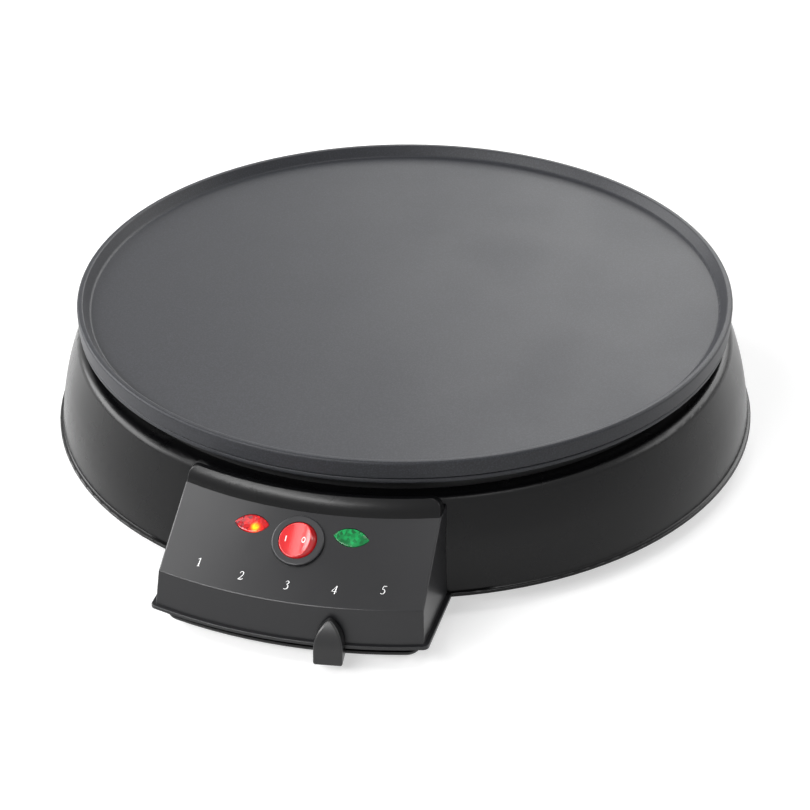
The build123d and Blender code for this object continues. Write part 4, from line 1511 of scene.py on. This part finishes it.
@dataclass(frozen=True)
class Studio:
    """The camera, the pale floor and the soft lights.

    Attributes:
        lens: Focal length, in mm.
        sensor: Width of the sensor, in mm.
        camera_place: Where the camera stands, in metres.
        camera_aim: The point on the table that it looks at, in metres.
        camera_roll: Its roll, in degrees.
        ambient: Strength of the light from all round.
        floor_size: Width of the floor, in metres.
        floor_colour: Hex code of the floor.
        floor_lift: How much whiter the floor is shown than it is lit.
        softboxes: The lamps.
    """

    lens: float = 128.2
    sensor: float = 36.0
    camera_place: tuple[float, float, float] = (0.3161, -1.1634, 0.7399)
    camera_aim: tuple[float, float, float] = (-0.0032, 0.0111, 0.0)
    camera_roll: float = -0.331
    ambient: float = 0.12
    floor_size: float = 4.0
    floor_colour: str = "#c6c6c6"
    floor_lift: float = 0.56
    softboxes: tuple[Softbox, ...] = (
        Softbox("back_panel", (0.16, 2.64, 1.57), (0, 0, 0.07), 1.8, 1.3, 5.5),
        Softbox("left_panel", (-2.2, 0.16, 0.97), (0, -0.05, 0.04), 2.0, 1.0, 9.0),
        Softbox("right_panel", (1.75, 1.45, 1.25), (0, 0, 0.05), 2.4, 1.0, 4.6),
        Softbox("front_strip", (-0.87, -1.6, 1.44), (0, -0.18, 0.04), 1.8, 0.4, 18.0),
        Softbox("overhead_left", (-1.5, -0.26, 2.16), (0, -0.17, 0.04), 0.9, 1.2, 3.8),
        Softbox("overhead_right", (0.6, 0.0, 2.4), (0, -0.05, 0.04), 0.8, 0.6, 5.0),
    )

    def make_camera(self) -> None:
        """Makes the camera and makes it the scene's."""
        data = bpy.data.cameras.new("camera")
        data.lens, data.sensor_width = self.lens, self.sensor
        data.clip_start, data.clip_end = 0.05, 50.0
        camera = bpy.data.objects.new("camera", data)
        bpy.context.scene.collection.objects.link(camera)
        camera.location = self.camera_place
        aim = Vector(self.camera_aim) - Vector(self.camera_place)
        turn = aim.to_track_quat("-Z", "Y") @ Quaternion((0, 0, 1), radians(self.camera_roll))
        camera.rotation_mode = "QUATERNION"
        camera.rotation_quaternion = turn
        bpy.context.scene.camera = camera

    def make_world(self) -> None:
        """Lights the scene softly from all round, and shows white behind it."""
        world = bpy.data.worlds.new("surround")
        world.use_nodes = True
        tree = world.node_tree
        tree.nodes.clear()
        seen = self.seen_directly(tree)
        strength = add_node(
            tree, "ShaderNodeMix", {"Factor": seen, "A": self.ambient, "B": 1.0}
        )
        sky = add_node(
            tree,
            "ShaderNodeBackground",
            {"Color": linear("#ffffff"), "Strength": strength.outputs["Result"]},
        )
        add_node(tree, "ShaderNodeOutputWorld", {"Surface": sky.outputs[0]})
        bpy.context.scene.world = world

    def seen_directly(self, tree: Tree) -> Socket:
        """Tells what the camera, a mirror or glass sees from what only lights.

        Args:
            tree: The node tree.

        Returns:
            1 for camera, glossy and transmission rays, else 0.
        """
        path = add_node(tree, "ShaderNodeLightPath")
        shiny = add_node(
            tree,
            "ShaderNodeMath",
            {0: path.outputs["Is Glossy Ray"], 1: path.outputs["Is Transmission Ray"]},
            operation="ADD",
        )
        seen = add_node(
            tree,
            "ShaderNodeMath",
            {0: shiny.outputs[0], 1: path.outputs["Is Camera Ray"]},
            operation="ADD",
            use_clamp=True,
        )
        return seen.outputs[0]

    def make_floor(self) -> None:
        """Makes the pale floor, which keeps the soft shadow."""
        bpy.ops.object.select_all(action="DESELECT")
        bpy.ops.mesh.primitive_plane_add(size=self.floor_size)
        floor = new_piece("floor")
        finish = bpy.data.materials.new("pale_floor")
        finish.use_nodes = True
        tree = finish.node_tree
        tree.nodes.clear()
        paint = add_node(tree, "ShaderNodeBsdfDiffuse", {"Color": linear(self.floor_colour)})
        lift = add_node(
            tree,
            "ShaderNodeEmission",
            {"Color": linear("#ffffff"), "Strength": self.seen_lift(tree)},
        )
        both = add_node(tree, "ShaderNodeAddShader", {0: paint.outputs[0], 1: lift.outputs[0]})
        add_node(tree, "ShaderNodeOutputMaterial", {"Surface": both.outputs[0]})
        floor.data.materials.append(finish)

    def seen_lift(self, tree: Tree) -> Socket:
        """Lifts the floor to white where it is seen, without lighting the object.

        Args:
            tree: The floor's node tree.

        Returns:
            The lift's strength.
        """
        lift = add_node(
            tree, "ShaderNodeMath", {0: self.seen_directly(tree), 1: self.floor_lift},
            operation="MULTIPLY",
        )
        return lift.outputs[0]

    def build(self) -> None:
        """Makes the studio."""
        self.make_camera()
        self.make_world()
        self.make_floor()
        for softbox in self.softboxes:
            softbox.build()
        bpy.context.scene.view_settings.view_transform = "Standard"


def main() -> None:
    """Builds the studio and every sub-assembly, and reports the pieces."""
    logging.basicConfig(level=logging.INFO)
    Studio().build()
    # Painted glow on the red lens round the lit power lamp behind it.
    red_lens = PrismLens("red_prism_lens", lamp=(-20.4, -174.3, 44.6), painted_lamp_glow=1.1)
    # A faint painted glow on the green lens, though its lamp is dark.
    green_lens = PrismLens(
        "green_prism_lens",
        bright="#0a9a50",
        dark="#045a2c",
        lamp=(23.6, -174.7, 44.0),
        painted_lamp_glow=0.12,
        hot="#60e090",
        warm="#10a050",
        halo=9.0,
    )
    assemblies: list[Assembly] = [
        Casing(),
        CookingPlate(),
        InnerParts(),
        TemperatureControl(),
        PowerSwitch(),
        PilotLight(name="power", slot="red_lens_plastic", finish=red_lens, bearing=-7.4),
        PilotLight(name="ready", slot="green_lens_plastic", finish=green_lens, bearing=7.4),
        TemperatureScale(),
    ]
    for assembly in assemblies:
        assembly.build()
        assembly.report()


if __name__ == "__main__":
    main()
